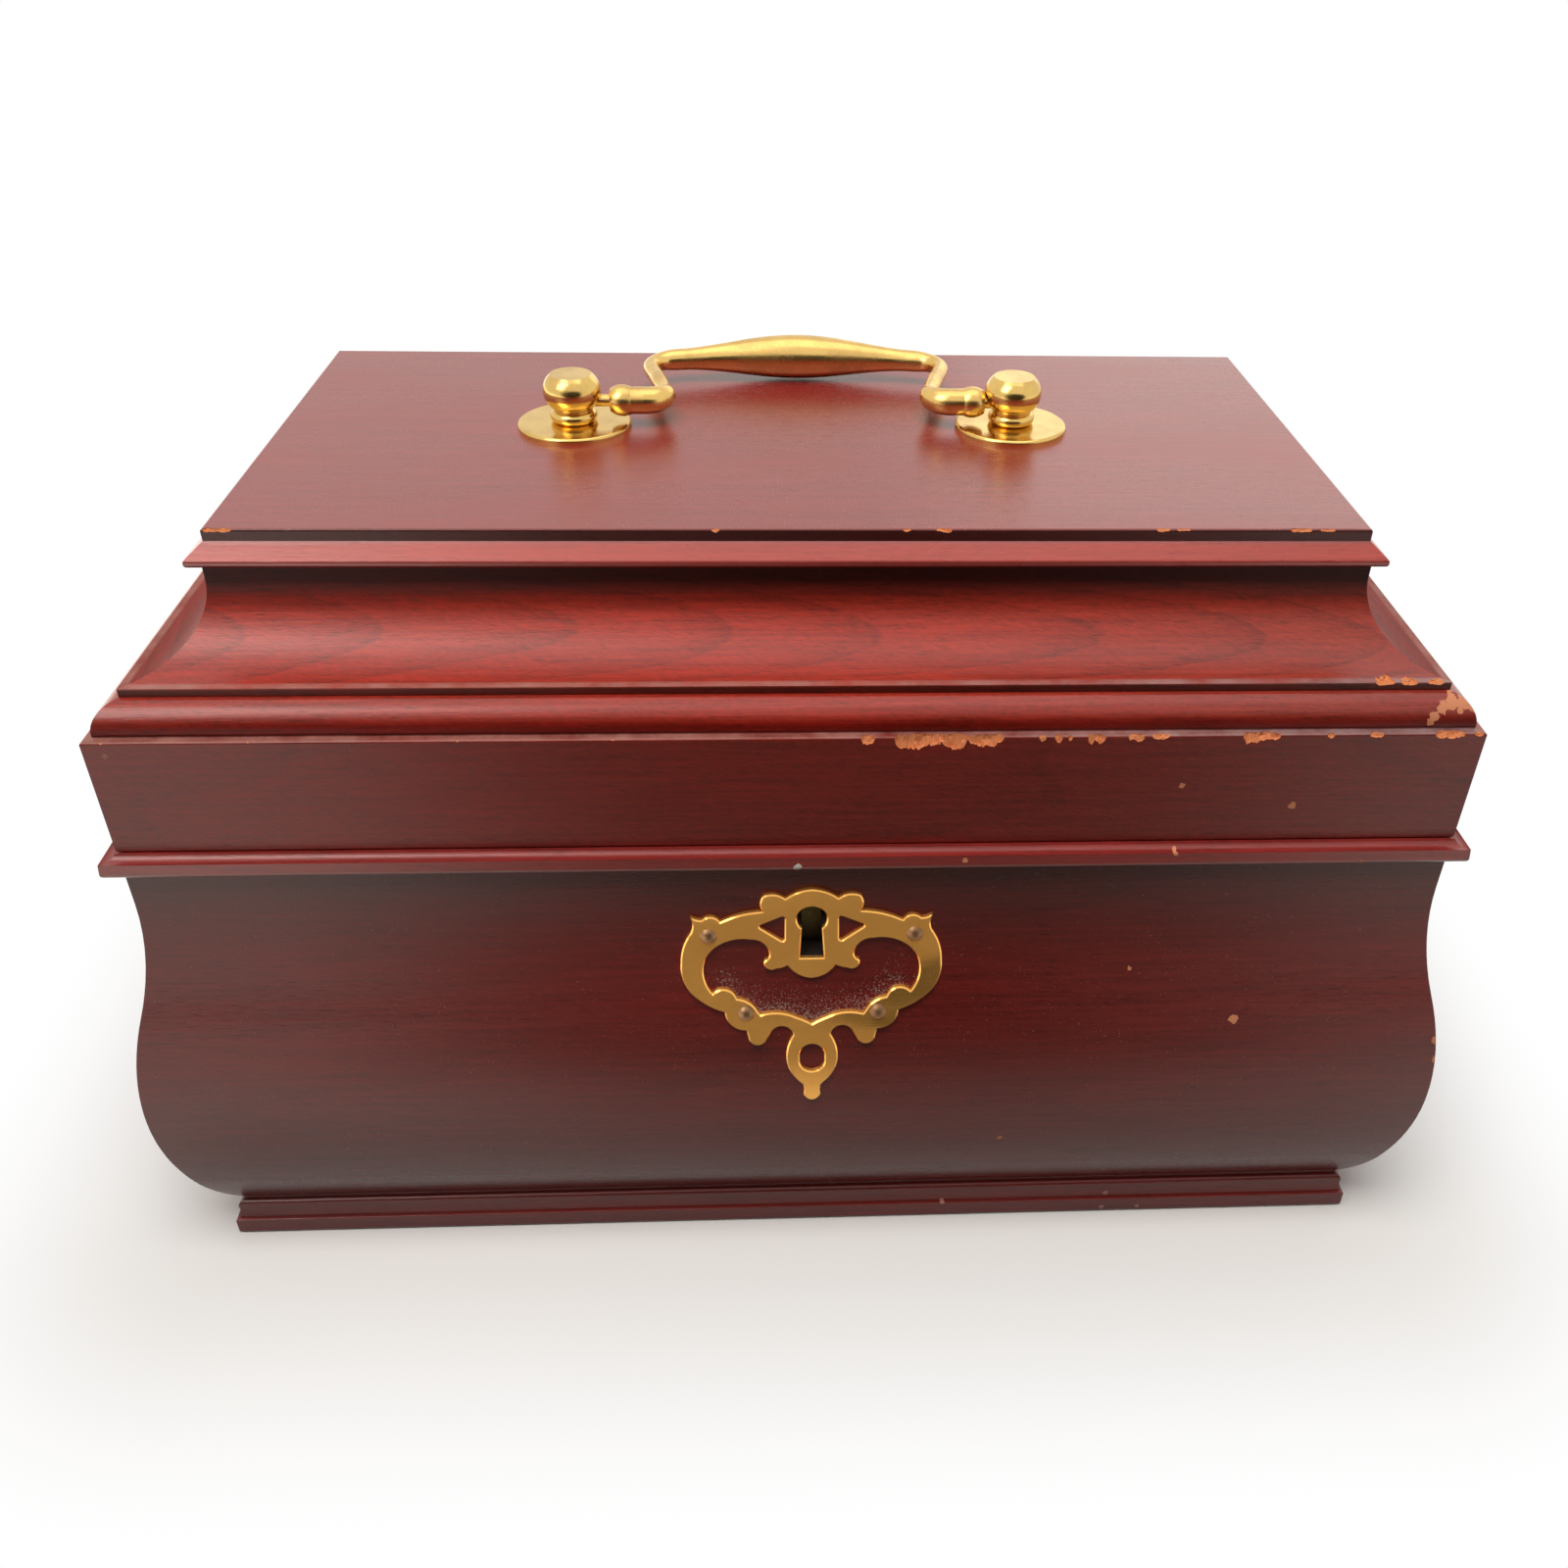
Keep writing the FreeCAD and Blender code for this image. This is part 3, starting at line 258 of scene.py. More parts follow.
def lying_above(material, foot, bow, reach):
    """Value that is highest just above an edge on the front and falls off over a reach. The edge has its
    foot at that X and Z, and rises to both sides by bow times the square of the distance."""
    tree = material.node_tree
    axes = add_node(tree, "ShaderNodeSeparateXYZ", {0: object_place(tree)})
    aside = maths(tree, "SUBTRACT", axes.outputs["X"], foot[0])
    edge = maths(tree, "MULTIPLY_ADD", maths(tree, "MULTIPLY", aside, aside), bow, foot[1])
    above = maths(tree, "DIVIDE", maths(tree, "SUBTRACT", axes.outputs["Z"], edge), reach)
    centred = maths(tree, "MULTIPLY_ADD", above, 0.5, 0.5)
    fallen = ramp(tree, centred, [(0.42, 0.0), (0.5, 0.30), (0.65, 0.21), (1.0, 0.0)])
    width = 0.06
    out = maths(tree, "DIVIDE", maths(tree, "ABSOLUTE", aside), width)
    return maths(tree, "MULTIPLY", fallen, ramp(tree, out, [(0.28, 1.0), (0.36, 0.0)]))


def painted_hole_shade(material, low, high):
    """Painted shade, nearly black, inside a hole that runs in from the front, between two corners in X and
    Z.
    """
    tree = material.node_tree
    axes = add_node(tree, "ShaderNodeSeparateXYZ", {0: object_place(tree)})
    inside = 1.0
    for axis, start, end in (("X", low.x, high.x), ("Z", low.z, high.z)):
        inside = maths(tree, "MULTIPLY", maths(tree, "GREATER_THAN", axes.outputs[axis], start), inside)
        inside = maths(tree, "MULTIPLY", maths(tree, "LESS_THAN", axes.outputs[axis], end), inside)
    hole_shade = (0.012, 0.008, 0.007)
    overlay(material, inside, hole_shade, 0.9)


panel_stain = (0.135, 0.0105, 0.0080)
under_rim = 0.010
painted_under_rim_shade = (0.62, 0.50, 0.50)
opening_height = 0.375
opening_bow = 17.0
dust_reach = 0.0095
keyhole = Vector((0.0020, 0.0, 0.0873))
keyhole_radius = 0.0026
keyhole_drop = 0.0095
panel_nicks = (
    (0.0875, 0.0633, 0.0009), (0.0653, 0.0746, 0.0005), (0.0421, 0.0321, 0.0006),
    (0.0674, 0.0157, 0.0005), (0.1310, 0.0575, 0.0012), (0.1316, 0.0530, 0.0010),
)
for side, turn in sides.items():
    panel = side + "_panel"
    panel_wood = mahogany(
        panel + "_wood", turn, panel_stain, figure=0.15, slope=0.03, board=turn / 61 + 0.9,
        gloss=0.26, shine=0.38,
    )
    finish_node(panel, panel_wood)
    panel_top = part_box(panel)[1].z
    # Painted shade at the top of each panel, under the overhang of the rim
    tinted_band(panel_wood, panel_top - under_rim, panel_top + 0.05, painted_under_rim_shade, soft=0.012)
    if side == "front":
        plate_low, plate_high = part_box("escutcheon")
        plate_size = plate_high - plate_low
        opening_foot = (plate_low.x + plate_size.x / 2, plate_low.z + opening_height * plate_size.z)
        dusted(panel_wood, lying_above(panel_wood, opening_foot, opening_bow, dust_reach))
        keyhole_low = keyhole - Vector((keyhole_radius, 0, keyhole_drop))
        keyhole_high = keyhole + Vector((keyhole_radius, 0, keyhole_radius))
        # Painted shade, nearly black, inside the keyhole
        painted_hole_shade(panel_wood, keyhole_low, keyhole_high)
        for x, z, radius in panel_nicks:
            nick(panel_wood, x, z, radius)


# Rim: a thin mitred moulding glued on top of the panels, which closes under the lid.
# Mahogany with a small round nose. Its edge has bright knocks and one pale fleck of dried polish.

rim_stain = (0.22, 0.019, 0.016)
dried_polish = (0.80, 0.74, 0.68)
rim_nicks = ((0.0304, 0.1023, 0.0005), (0.0700, 0.1032, 0.0004), (0.1060, 0.1009, 0.0004))
for side, turn in sides.items():
    rim = "rim_" + side
    rim_wood = mahogany(
        rim + "_wood", turn, rim_stain, lean=30, figure=0.15, board=turn / 53 + 7.7, shine=0.65
    )
    finish_node(rim, rim_wood)
    if side == "front":
        nick(rim_wood, -0.0009, 0.1011, 0.0008, colour=dried_polish)
        for x, z, radius in rim_nicks:
            nick(rim_wood, x, z, radius)


# Linings and partitions: thin boards of paler cedar that line the box and part it into three wells.
# The short linings stand between the long ones, and the partitions are let into grooves. Wiped with oil.

lining_stain = (0.40, 0.19, 0.088)
for first_board, turn, members in (
    (0.0, 0, ("lining_front", "lining_back")),
    (90 / 31, 90, ("lining_left", "lining_right")),
    (4.4, 90, ("partition_left", "partition_right")),
):
    for index, member in enumerate(members):
        finish_node(member, mahogany(
            member + "_wood", turn, lining_stain, figure=0.3, slope=0.02, gloss=0.55,
            board=first_board + index,
        ))


# Baize: a piece of green napped wool cloth cut to fit the floor of each well and glued down on the bottom
# board. Each piece is a little short of the walls, and its edge lifts in places where the glue has let go.

def baize_finish():
    material = bpy.data.materials.new("green_baize")
    material.use_nodes = True
    tree = material.node_tree
    cloth = tree.nodes["Principled BSDF"]
    place = object_place(tree)
    nap = grained_noise(tree, place, 1800.0, 2600.0, detail=3.0, roughness=0.7)
    worn = grained_noise(tree, place, 40.0, 40.0, detail=2.0)
    tone = maths(tree, "MULTIPLY_ADD", worn, 0.5, maths(tree, "MULTIPLY", nap, 0.6))
    cover = blend_colours(tree, tone, (0.018, 0.075, 0.036, 1.0), (0.075, 0.21, 0.11, 1.0))
    tree.links.new(cover, cloth.inputs["Base Color"])
    cloth.inputs["Roughness"].default_value = 0.95
    cloth.inputs["Sheen Weight"].default_value = 0.5
    cloth.inputs["Specular IOR Level"].default_value = 0.15
    bump = add_node(tree, "ShaderNodeBump", {"Height": nap, "Strength": 0.6, "Distance": 0.0005})
    tree.links.new(bump.outputs[0], cloth.inputs["Normal"])
    return material


baize_green = baize_finish()
baize_gap = 0.0004
baize_thickness = 0.0008
baize_lift = 0.0009
lift_reach = 0.006
lift_waves = 55.0
baize_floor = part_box("well_baize")[0].z
well_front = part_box("lining_front")[1].y
well_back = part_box("lining_back")[0].y
wells = {
    "left": (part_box("lining_left")[1].x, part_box("partition_left")[0].x),
    "middle": (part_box("partition_left")[1].x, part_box("partition_right")[0].x),
    "right": (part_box("partition_right")[1].x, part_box("lining_right")[0].x),
}
for well, (well_left, well_right) in wells.items():
    width = well_right - well_left - 2 * baize_gap
    length = well_back - well_front - 2 * baize_gap
    middle = Vector(((well_left + well_right) / 2, (well_front + well_back) / 2, baize_floor))
    cloth = bmesh.new()
    bmesh.ops.create_grid(cloth, x_segments=36, y_segments=56, size=0.5)
    bmesh.ops.scale(cloth, vec=(width, length, 1.0), verts=cloth.verts)
    for vert in cloth.verts:
        to_edge = min(width / 2 - abs(vert.co.x), length / 2 - abs(vert.co.y))
        near_edge = max(0.0, 1.0 - to_edge / lift_reach)
        swell = 0.5 + 0.5 * noise.noise((vert.co + middle) * lift_waves)
        vert.co.z = baize_lift * swell * near_edge ** 2
    bmesh.ops.translate(cloth, vec=middle, verts=cloth.verts)
    bmesh.ops.recalc_face_normals(cloth, faces=cloth.faces)
    bmesh.ops.solidify(cloth, geom=cloth.faces[:], thickness=-baize_thickness)
    bmesh.ops.recalc_face_normals(cloth, faces=cloth.faces)
    mesh = bpy.data.meshes.new("baize_" + well)
    cloth.to_mesh(mesh)
    cloth.free()
    mesh.shade_smooth()
    mesh.materials.append(baize_green)
    pad = bpy.data.objects.new("baize_" + well, mesh)
    bpy.context.scene.collection.objects.link(pad)
    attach(pad, "case")
    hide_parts("well_baize")


# Lock: a small box lock let into the front panel behind the escutcheon and held by four screws.
# Its plate and screws are brass, and the case, bolt, spring and drill pin are plain steel.

def brass(name, colour, dull, roughness, tarnish, metallic=1.0):
    """Cast or rolled brass. dull is the colour where it has gone brown, in soft patches, and tarnish is how
    brown the worst of them are."""
    material = bpy.data.materials.new(name)
    material.use_nodes = True
    tree = material.node_tree
    metal = tree.nodes["Principled BSDF"]
    metal.inputs["Metallic"].default_value = metallic
    place = object_place(tree)
    patches = grained_noise(tree, place, 160.0, 160.0, detail=4.0, roughness=0.65)
    browned = ramp(tree, patches, [(0.42, 0.0), (0.78, tarnish)])
    tree.links.new(blend_colours(tree, browned, (*colour, 1.0), (*dull, 1.0)), metal.inputs["Base Color"])
    rubbed = grained_noise(tree, place, 60.0, 2400.0, detail=3.0)
    rubbing_marks = 0.05
    brown_roughness = 0.25
    polish = maths(tree, "MULTIPLY_ADD", rubbed, rubbing_marks, roughness)
    polish = maths(tree, "MULTIPLY_ADD", browned, brown_roughness, polish)
    tree.links.new(polish, metal.inputs["Roughness"])
    bump = add_node(tree, "ShaderNodeBump", {"Height": rubbed, "Strength": 0.03, "Distance": 0.0002})
    tree.links.new(bump.outputs[0], metal.inputs["Normal"])
    return material


def lock_steel_finish():
    material = bpy.data.materials.new("lock_steel")
    material.use_nodes = True
    tree = material.node_tree
    metal = tree.nodes["Principled BSDF"]
    metal.inputs["Metallic"].default_value = 1.0
    filed = grained_noise(tree, object_place(tree), 90.0, 1900.0, detail=3.0)
    tone = blend_colours(tree, filed, (0.10, 0.095, 0.085, 1.0), (0.20, 0.19, 0.175, 1.0))
    tree.links.new(tone, metal.inputs["Base Color"])
    smooth_steel = 0.28
    filing_marks = 0.25
    tree.links.new(maths(tree, "MULTIPLY_ADD", filed, filing_marks, smooth_steel), metal.inputs["Roughness"])
    return material


plain_brass = brass("plain_brass", (0.80, 0.58, 0.24), (0.42, 0.27, 0.12), roughness=0.24, tarnish=0.6)
lock_steel = lock_steel_finish()
for member in ("lock_plate", "lock_screws"):
    finish_node(member, plain_brass)
for member in ("lock_case", "lock_bolt", "lock_spring", "lock_drill_pin"):
    finish_node(member, lock_steel)


# Escutcheon: a pierced plate of scrolls stamped from sheet brass, its edges filed to a bright bevel.
# Polished and lacquered, bent to the panel's curve and held by four pins.

def drop_old_normals(mesh):
    """Takes the CAD mesh's own corner normals off a copy, because they no longer fit its faces."""
    if "custom_normal" in mesh.attributes:
        mesh.attributes.remove(mesh.attributes["custom_normal"])


bevel_width = 0.00028
bevel_drop = 0.00024
bevel_crease = math.radians(24)
curve_step = 0.0015
face_likeness = 0.97
plate = bmesh.new()
plate.from_mesh(nodes["escutcheon"].data)
bmesh.ops.remove_doubles(plate, verts=plate.verts, dist=1e-6)
plate_face = [face for face in plate.faces if face.normal.y < -0.6]
plate_curve = sorted({(vert.co.z, vert.co.y) for face in plate_face for vert in face.verts})
bevel_ring = bmesh.ops.inset_region(
    plate, faces=plate_face, thickness=bevel_width, use_boundary=True, use_even_offset=False
)["faces"]
inner_verts = {vert for face in plate_face for vert in face.verts}
filed_edge = {vert for face in bevel_ring for vert in face.verts} - inner_verts
bmesh.ops.translate(plate, vec=(0, bevel_drop, 0), verts=list(filed_edge))
bmesh.ops.delete(plate, geom=plate_face, context="FACES")
open_rim = [edge for edge in plate.edges if edge.is_boundary]
bmesh.ops.triangle_fill(plate, use_beauty=True, edges=open_rim, normal=(0, -1, 0))
bmesh.ops.recalc_face_normals(plate, faces=plate.faces)
plate_mesh = bpy.data.meshes.new("escutcheon_plate")
plate.to_mesh(plate_mesh)
plate.free()
drop_old_normals(plate_mesh)
plate_mesh.shade_smooth()
plate_mesh.set_sharp_from_angle(angle=bevel_crease)

# The face shades as one smooth bend: its corners take their lean from the curve at that height
curve_heights, curve_depths = numpy.array(plate_curve).T
plate_normals = []
for polygon in plate_mesh.polygons:
    for vert in polygon.vertices:
        height = plate_mesh.vertices[vert].co.z
        lean = numpy.interp((height - curve_step, height + curve_step), curve_heights, curve_depths)
        smooth = Vector((0, -1, (lean[1] - lean[0]) / (2 * curve_step))).normalized()
        on_face = polygon.normal.dot(smooth) > face_likeness
        plate_normals.append(smooth if on_face else Vector((0, 0, 0)))
plate_mesh.normals_split_custom_set(plate_normals)
plate_mesh.materials.append(brass(
    "escutcheon_brass", (0.99, 0.51, 0.12), (0.66, 0.30, 0.07), roughness=0.075, tarnish=0.3, metallic=0.76
))
escutcheon = bpy.data.objects.new("escutcheon_plate", plate_mesh)
bpy.context.scene.collection.objects.link(escutcheon)
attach(escutcheon, "case")
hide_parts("escutcheon")


# Escutcheon pins: four round-headed brass nails driven through the plate into the panel.
# Never polished after fixing, so they have gone brown.

pin_brass = brass("pin_brass", (0.30, 0.17, 0.085), (0.16, 0.085, 0.045), roughness=0.36, tarnish=0.5)
finish_node("escutcheon_pins", pin_brass)


# Hinges: two brass butts, each with two leaves and a pin, let into the rim and the lid's back rail.
# Their leaves are held by countersunk slotted screws.

for side in ("left", "right"):
    for member in ("hinge_body_leaf_", "hinge_lid_leaf_", "hinge_pin_"):
        finish_node(member + side, plain_brass)
for member in ("hinge_body_screws", "hinge_lid_screws"):
    finish_node(member, plain_brass)


# Lid frieze: four upright mahogany rails with a half-round worked on their top edge, mitred at the corners.
# The front rail's top arris is chipped to the raw wood along its right half.

def chip_away(node, wood, arris, chips):
    """Puts a copy of a rail in its place, with chips broken out of an arris that runs in X at that Y and Z.
    Each chip has a start and an end in X, a drop down the face and a run back, in millimetres."""
    rail = bmesh.new()
    rail.from_mesh(nodes[node].data)
    bmesh.ops.remove_doubles(rail, verts=rail.verts, dist=1e-6)
    rail_mesh = bpy.data.meshes.new(node + "_worn")
    rail.to_mesh(rail_mesh)
    rail.free()
    drop_old_normals(rail_mesh)
    rail_mesh.materials.append(wood)
    rail_mesh.materials.append(wood)
    worn = bpy.data.objects.new(node + "_worn", rail_mesh)
    bpy.context.scene.collection.objects.link(worn)

    # Each chip is the hollow left by a splintery bar that straddles the arris. The breaks are given by their
    # waves to the metre along the bar, their waves round it and how much they swell it.
    splinter = 0.16
    end_taper = 0.7
    end_size = 0.25
    bar_size = 1.25
    bar_shift = 0.25
    chip_crease = math.radians(32)
    breaks = ((520, 0.8, 0.42), (1700, 2.5, 0.26), (4300, 3.5, 0.20))
    breaker = bmesh.new()
    for start, end, drop, back in chips:
        made = len(breaker.verts)
        bmesh.ops.create_cone(
            breaker, cap_ends=True, cap_tris=False, segments=20, radius1=1.0, radius2=1.0, depth=1.0,
            matrix=Matrix.Rotation(math.radians(90), 4, "Y"),
        )
        breaker.verts.ensure_lookup_table()
        bar_edges = {edge for vert in breaker.verts[made:] for edge in vert.link_edges}
        long_edges = [edge for edge in bar_edges if abs(edge.verts[0].co.x - edge.verts[1].co.x) > 0.5]
        cuts = max(6, round((end - start) / splinter))
        bmesh.ops.subdivide_edges(breaker, edges=long_edges, cuts=cuts, use_grid_fill=True)
        breaker.verts.ensure_lookup_table()
        bar = breaker.verts[made:]
        for vert in bar:
            along = (start + (vert.co.x + 0.5) * (end - start)) / 1000
            to_end = (0.5 - abs(vert.co.x)) * (end - start)
            size = 1.0
            for waves, waves_round, share in breaks:
                spot = Vector((along * waves, vert.co.y * waves_round, vert.co.z * waves_round))
                size += share * noise.noise(spot)
            size *= end_size + (1 - end_size) * math.sqrt(min(1.0, max(0.0, to_end) / end_taper))
            vert.co.x = along
            vert.co.y = arris[0] + back / 1000 * (bar_size * size * vert.co.y - bar_shift)
            vert.co.z = arris[1] + drop / 1000 * (bar_size * size * vert.co.z + bar_shift)
    for face in breaker.faces:
        face.material_index = 1
    breaker_mesh = bpy.data.meshes.new("breaker")
    breaker.to_mesh(breaker_mesh)
    breaker.free()
    breaker_mesh.materials.append(wood)
    breaker_mesh.materials.append(wood)
    lumps = bpy.data.objects.new("breaker", breaker_mesh)
    bpy.context.scene.collection.objects.link(lumps)
    knock = worn.modifiers.new("chips", "BOOLEAN")
    knock.object = lumps
    knock.operation = "DIFFERENCE"
    knock.solver = "EXACT"
    knock.use_self = True
    depsgraph = bpy.context.evaluated_depsgraph_get()
    knocked = bpy.data.meshes.new_from_object(worn.evaluated_get(depsgraph))
    worn.modifiers.remove(knock)
    worn.data = knocked
    bpy.data.objects.remove(lumps)
    broken = knocked.attributes.new("broken", "FLOAT", "FACE")
    for polygon in knocked.polygons:
        broken.data[polygon.index].value = float(polygon.material_index)
        polygon.material_index = 0
    knocked.materials.pop()
    knocked.shade_smooth()
    knocked.set_sharp_from_angle(angle=chip_crease)
    worn.modifiers.new("flat_faces", "WEIGHTED_NORMAL").keep_sharp = True

    tree = wood.node_tree
    broken_share = add_node(tree, "ShaderNodeAttribute", attribute_name="broken").outputs["Fac"]
    overlay(wood, broken_share, bare_wood, 0.8)
    torn = grained_noise(tree, object_place(tree), 900.0, 2600.0, detail=4.0, roughness=0.7)
    torn_dark = (0.54, 0.145, 0.05, 1.0)
    torn_light = (0.92, 0.36, 0.155, 1.0)
    laid_over = tree.nodes["Principled BSDF"].inputs["Base Color"].links[0].from_node
    tree.links.new(blend_colours(tree, torn, torn_dark, torn_light), laid_over.inputs[7])
    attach(worn, "lid")
    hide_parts(node)


def dusty_lit_ledge(material, level, half=0.0003):
    """Dust and wax, with a painted highlight, along a narrow ledge or a rubbed arris at that height,
    to half a width each way.
    """
    tree = material.node_tree
    place = object_place(tree)
    axes = add_node(tree, "ShaderNodeSeparateXYZ", {0: place})
    off = maths(tree, "ABSOLUTE", maths(tree, "SUBTRACT", axes.outputs["Z"], level))
    near = ramp(tree, maths(tree, "DIVIDE", off, half), [(0.4, 1.0), (1.0, 0.0)])
    patchy = grained_noise(tree, place, 150.0, 150.0, detail=4.0, roughness=0.7)
    lying = maths(tree, "MULTIPLY", near, ramp(tree, patchy, [(0.3, 0.15), (0.7, 0.9)]))
    dust_and_highlight = (0.42, 0.19, 0.16)
    overlay(material, lying, dust_and_highlight, 0.6)


frieze_stain = (0.190, 0.0120, 0.0070)
frieze_chips = [
    (-121.0, -119.8, 0.5, 0.4), (-96.0, -95.2, 0.4, 0.4), (-60.5, -59.4, 0.4, 0.4), (-33.4, -32.6, 0.4, 0.4),
    (10.4, 13.0, 1.4, 0.8), (16.4, 29.6, 2.1, 1.0), (29.2, 36.0, 1.7, 0.9), (42.1, 43.6, 1.2, 0.7),
    (45.0, 46.6, 1.7, 0.7), (47.4, 48.4, 1.5, 0.6), (51.0, 54.4, 1.7, 0.8), (52.8, 53.9, 2.2, 0.7),
    (58.2, 61.4, 1.2, 0.7), (62.4, 66.0, 0.7, 0.6), (79.1, 86.1, 1.0, 0.9), (79.4, 82.6, 1.6, 0.8),
    (94.5, 96.0, 0.8, 0.6), (102.3, 105.0, 0.7, 0.7), (114.3, 120.0, 1.0, 0.9), (121.6, 123.4, 0.9, 0.8),
]
frieze_nicks = (
    (0.1138, 0.1290, 0.0007), (0.1143, 0.1299, 0.0009), (0.1157, 0.1312, 0.0010), (0.1176, 0.1319, 0.0011),
    (0.1196, 0.1320, 0.0010), (0.1215, 0.1315, 0.0009), (0.1190, 0.1308, 0.0006),
)
torus_height = 0.0055
browner = 0.055
browner_end = 0.2
frieze_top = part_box("lid_frieze_front")[1].z - torus_height
torus_top = frieze_top + torus_height
for side, turn in sides.items():
    frieze = "lid_frieze_" + side
    frieze_wood = mahogany(
        frieze + "_wood", turn, frieze_stain, figure=0.2, slope=0.02, board=turn / 57 + 2.2,
        gloss=0.28, shine=0.38, silk=0.4,
    )
    finish_node(frieze, frieze_wood)

    # Painted shade in the quirk under the half round and on its duller foot; a shinier painted highlight on
    # its crown
    for low, high, tint, soft, band_shine in (
        (frieze_top + 0.0001, frieze_top + 0.0005, (0.35, 0.3, 0.3), 0.0002, 1.0),
        (frieze_top + 0.0005, frieze_top + 0.0021, (0.85, 0.5, 0.45), 0.0005, 0.4),
        (frieze_top + 0.0024, torus_top + 0.001, (1.55, 1.8, 1.6), 0.0009, 1.4),
    ):
        tinted_band(frieze_wood, low, high, tint, soft=soft, shine=band_shine)
    dusty_lit_ledge(frieze_wood, frieze_top)
    if side == "front":
        tinted_band(frieze_wood, browner, browner_end, (0.90, 1.35, 1.6), soft=0.05, axis="X")
        nick(frieze_wood, 0.0696, 0.1167, 0.0006)
        nick(frieze_wood, 0.0912, 0.1121, 0.0007)
        nick(frieze_wood, -0.1203, 0.1248, 0.0005, colour=rubbed_wood)
        for x, z, radius in frieze_nicks:
            nick(frieze_wood, x, z, radius)
        chip_away(frieze, frieze_wood, (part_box(frieze)[0].y, frieze_top), frieze_chips)


# Link plate: a brass plate with two eyes that the lock's bolt catches.
# It is let in flush under the lid's front rail and held by two countersunk screws.

for member in ("link_plate", "link_plate_screws"):
    finish_node(member, plain_brass)


# Lid cove: four mitred lengths of hollow moulding between the frieze and the top board.
# The wood shows its figure best here, in long pointed arches, and its stain is the reddest of the box.

cove_stain = (0.365, 0.026, 0.012)
# Share of the stain, gloss and shine: the other three sides are duller than the front, with shade painted on
# darker
front_finish = (1.0, 0.38, 0.65)
shaded_sides_finish = (0.6, 0.55, 0.3)
cove_chips = [(103.8, 107.4, 0.5, 2.2), (108.5, 111.7, 0.45, 1.8), (113.4, 116.5, 0.5, 1.3)]
cove_fillet = 0.0016
neck_height = 0.0062
for side, turn in sides.items():
    cove = "lid_cove_" + side
    depth, gloss, shine = front_finish if side == "front" else shaded_sides_finish
    cove_wood = mahogany(
        cove + "_wood", turn, [part * depth for part in cove_stain], lean=45, figure=0.34, slope=0.09,
        board=turn / 71 + 1.3, gloss=gloss, shine=shine, silk=0.4,
    )
    finish_node(cove, cove_wood)
    cove_low, cove_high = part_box(cove)
    ledge = cove_low.z + cove_fillet

    # Painted shade: dark and dull on the fillet's edge, a little in the foot of the hollow, darkest and dull
    # in the neck
    for low, high, tint, soft, band_shine in (
        (cove_low.z - 0.001, ledge - 0.0002, (0.25, 0.25, 0.25), 0.0002, 0.4),
        (ledge, cove_low.z + 0.005, (0.78, 0.72, 0.70), 0.002, 1.0),
        (cove_high.z - neck_height, cove_high.z + 0.010, (0.16, 0.14, 0.16), 0.0028, 0.25),
    ):
        tinted_band(cove_wood, low, high, tint, soft=soft, shine=band_shine)
    dusty_lit_ledge(cove_wood, ledge, half=0.00012)
    if side == "front":
        tinted_band(cove_wood, browner, browner_end, (0.84, 1.25, 1.5), soft=0.05, axis="X")
        chip_away(cove, cove_wood, (cove_low.y, ledge), cove_chips)


# Top board: one wide mahogany board with a bevelled edge, glued over the cove rails, its field let down
# inside. Dust lies on it, and its front edge has lost a few flakes of lacquer.

top_stain = (0.265, 0.022, 0.018)
top_wood = mahogany(
    "lid_top_wood", 0, top_stain, spread=0.25, lean=90, figure=0.12, slope=0.02, board=6.1,
    gloss=0.27, shine=0.95,
)
finish_node("lid_top_board", top_wood)
top_low, top_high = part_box("lid_top_board")
top_tree = top_wood.node_tree
height = add_node(top_tree, "ShaderNodeSeparateXYZ", {0: object_place(top_tree)}).outputs["Z"]
on_top = maths(top_tree, "GREATER_THAN", height, top_high.z - 0.0002)
no_dust = -0.5
top_dust = 0.55
dusted(top_wood, maths(top_tree, "MULTIPLY_ADD", on_top, top_dust, no_dust))
upright = 0.0022
bevel_foot = 0.0047
# Painted shade, dark and dull, on the upright front edge, and a lighter painted highlight on the bevel below
# it
tinted_band(top_wood, top_high.z - upright, top_high.z - 0.0001, (0.2, 0.2, 0.2), soft=0.0001, shine=0.4)
tinted_band(top_wood, top_high.z - bevel_foot, top_high.z - upright - 0.0003, (1.45, 1.75, 1.4), shine=0.7)
top_chips = [
    (-102.7, -97.5, 0.6, 0.5), (-15.5, -13.8, 0.5, 0.5), (18.0, 19.8, 0.4, 0.5), (24.1, 27.1, 0.6, 0.6),
    (63.5, 66.4, 0.4, 0.5), (67.0, 70.1, 0.35, 0.4), (87.9, 92.0, 0.45, 0.5), (93.0, 96.4, 0.35, 0.4),
]
bevel_run = 0.0031
chip_away("lid_top_board", top_wood, (top_low.y + bevel_run, top_high.z), top_chips)


# Handle posts: turned brass balls on collars, each on a round rose, with a stud through the lid.
# A washer and a nut hold each stud inside the lid. Polished and lacquered.

bright_brass = brass("bright_brass", (0.78, 0.53, 0.17), (0.40, 0.24, 0.085), roughness=0.13, tarnish=0.5)
for side in ("left", "right"):
    finish_node("handle_post_" + side, bright_brass)
    finish_node("handle_rose_" + side, bright_brass)
for member in ("handle_washers", "handle_nuts"):
    finish_node(member, plain_brass)


# Bail: one cast brass bar whose pinned ends turn in the posts, with a grip that swells to the middle.
# It lies back on the lid. Its polish is a little softer than the posts', and a greyer, cooler reflection is
# painted underneath.

bail_brass = brass("bail_brass", (0.82, 0.55, 0.18), (0.42, 0.24, 0.09), roughness=0.20, tarnish=0.55)
bail_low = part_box("bail_handle")[0].z
painted_reflection_reach = 0.0030
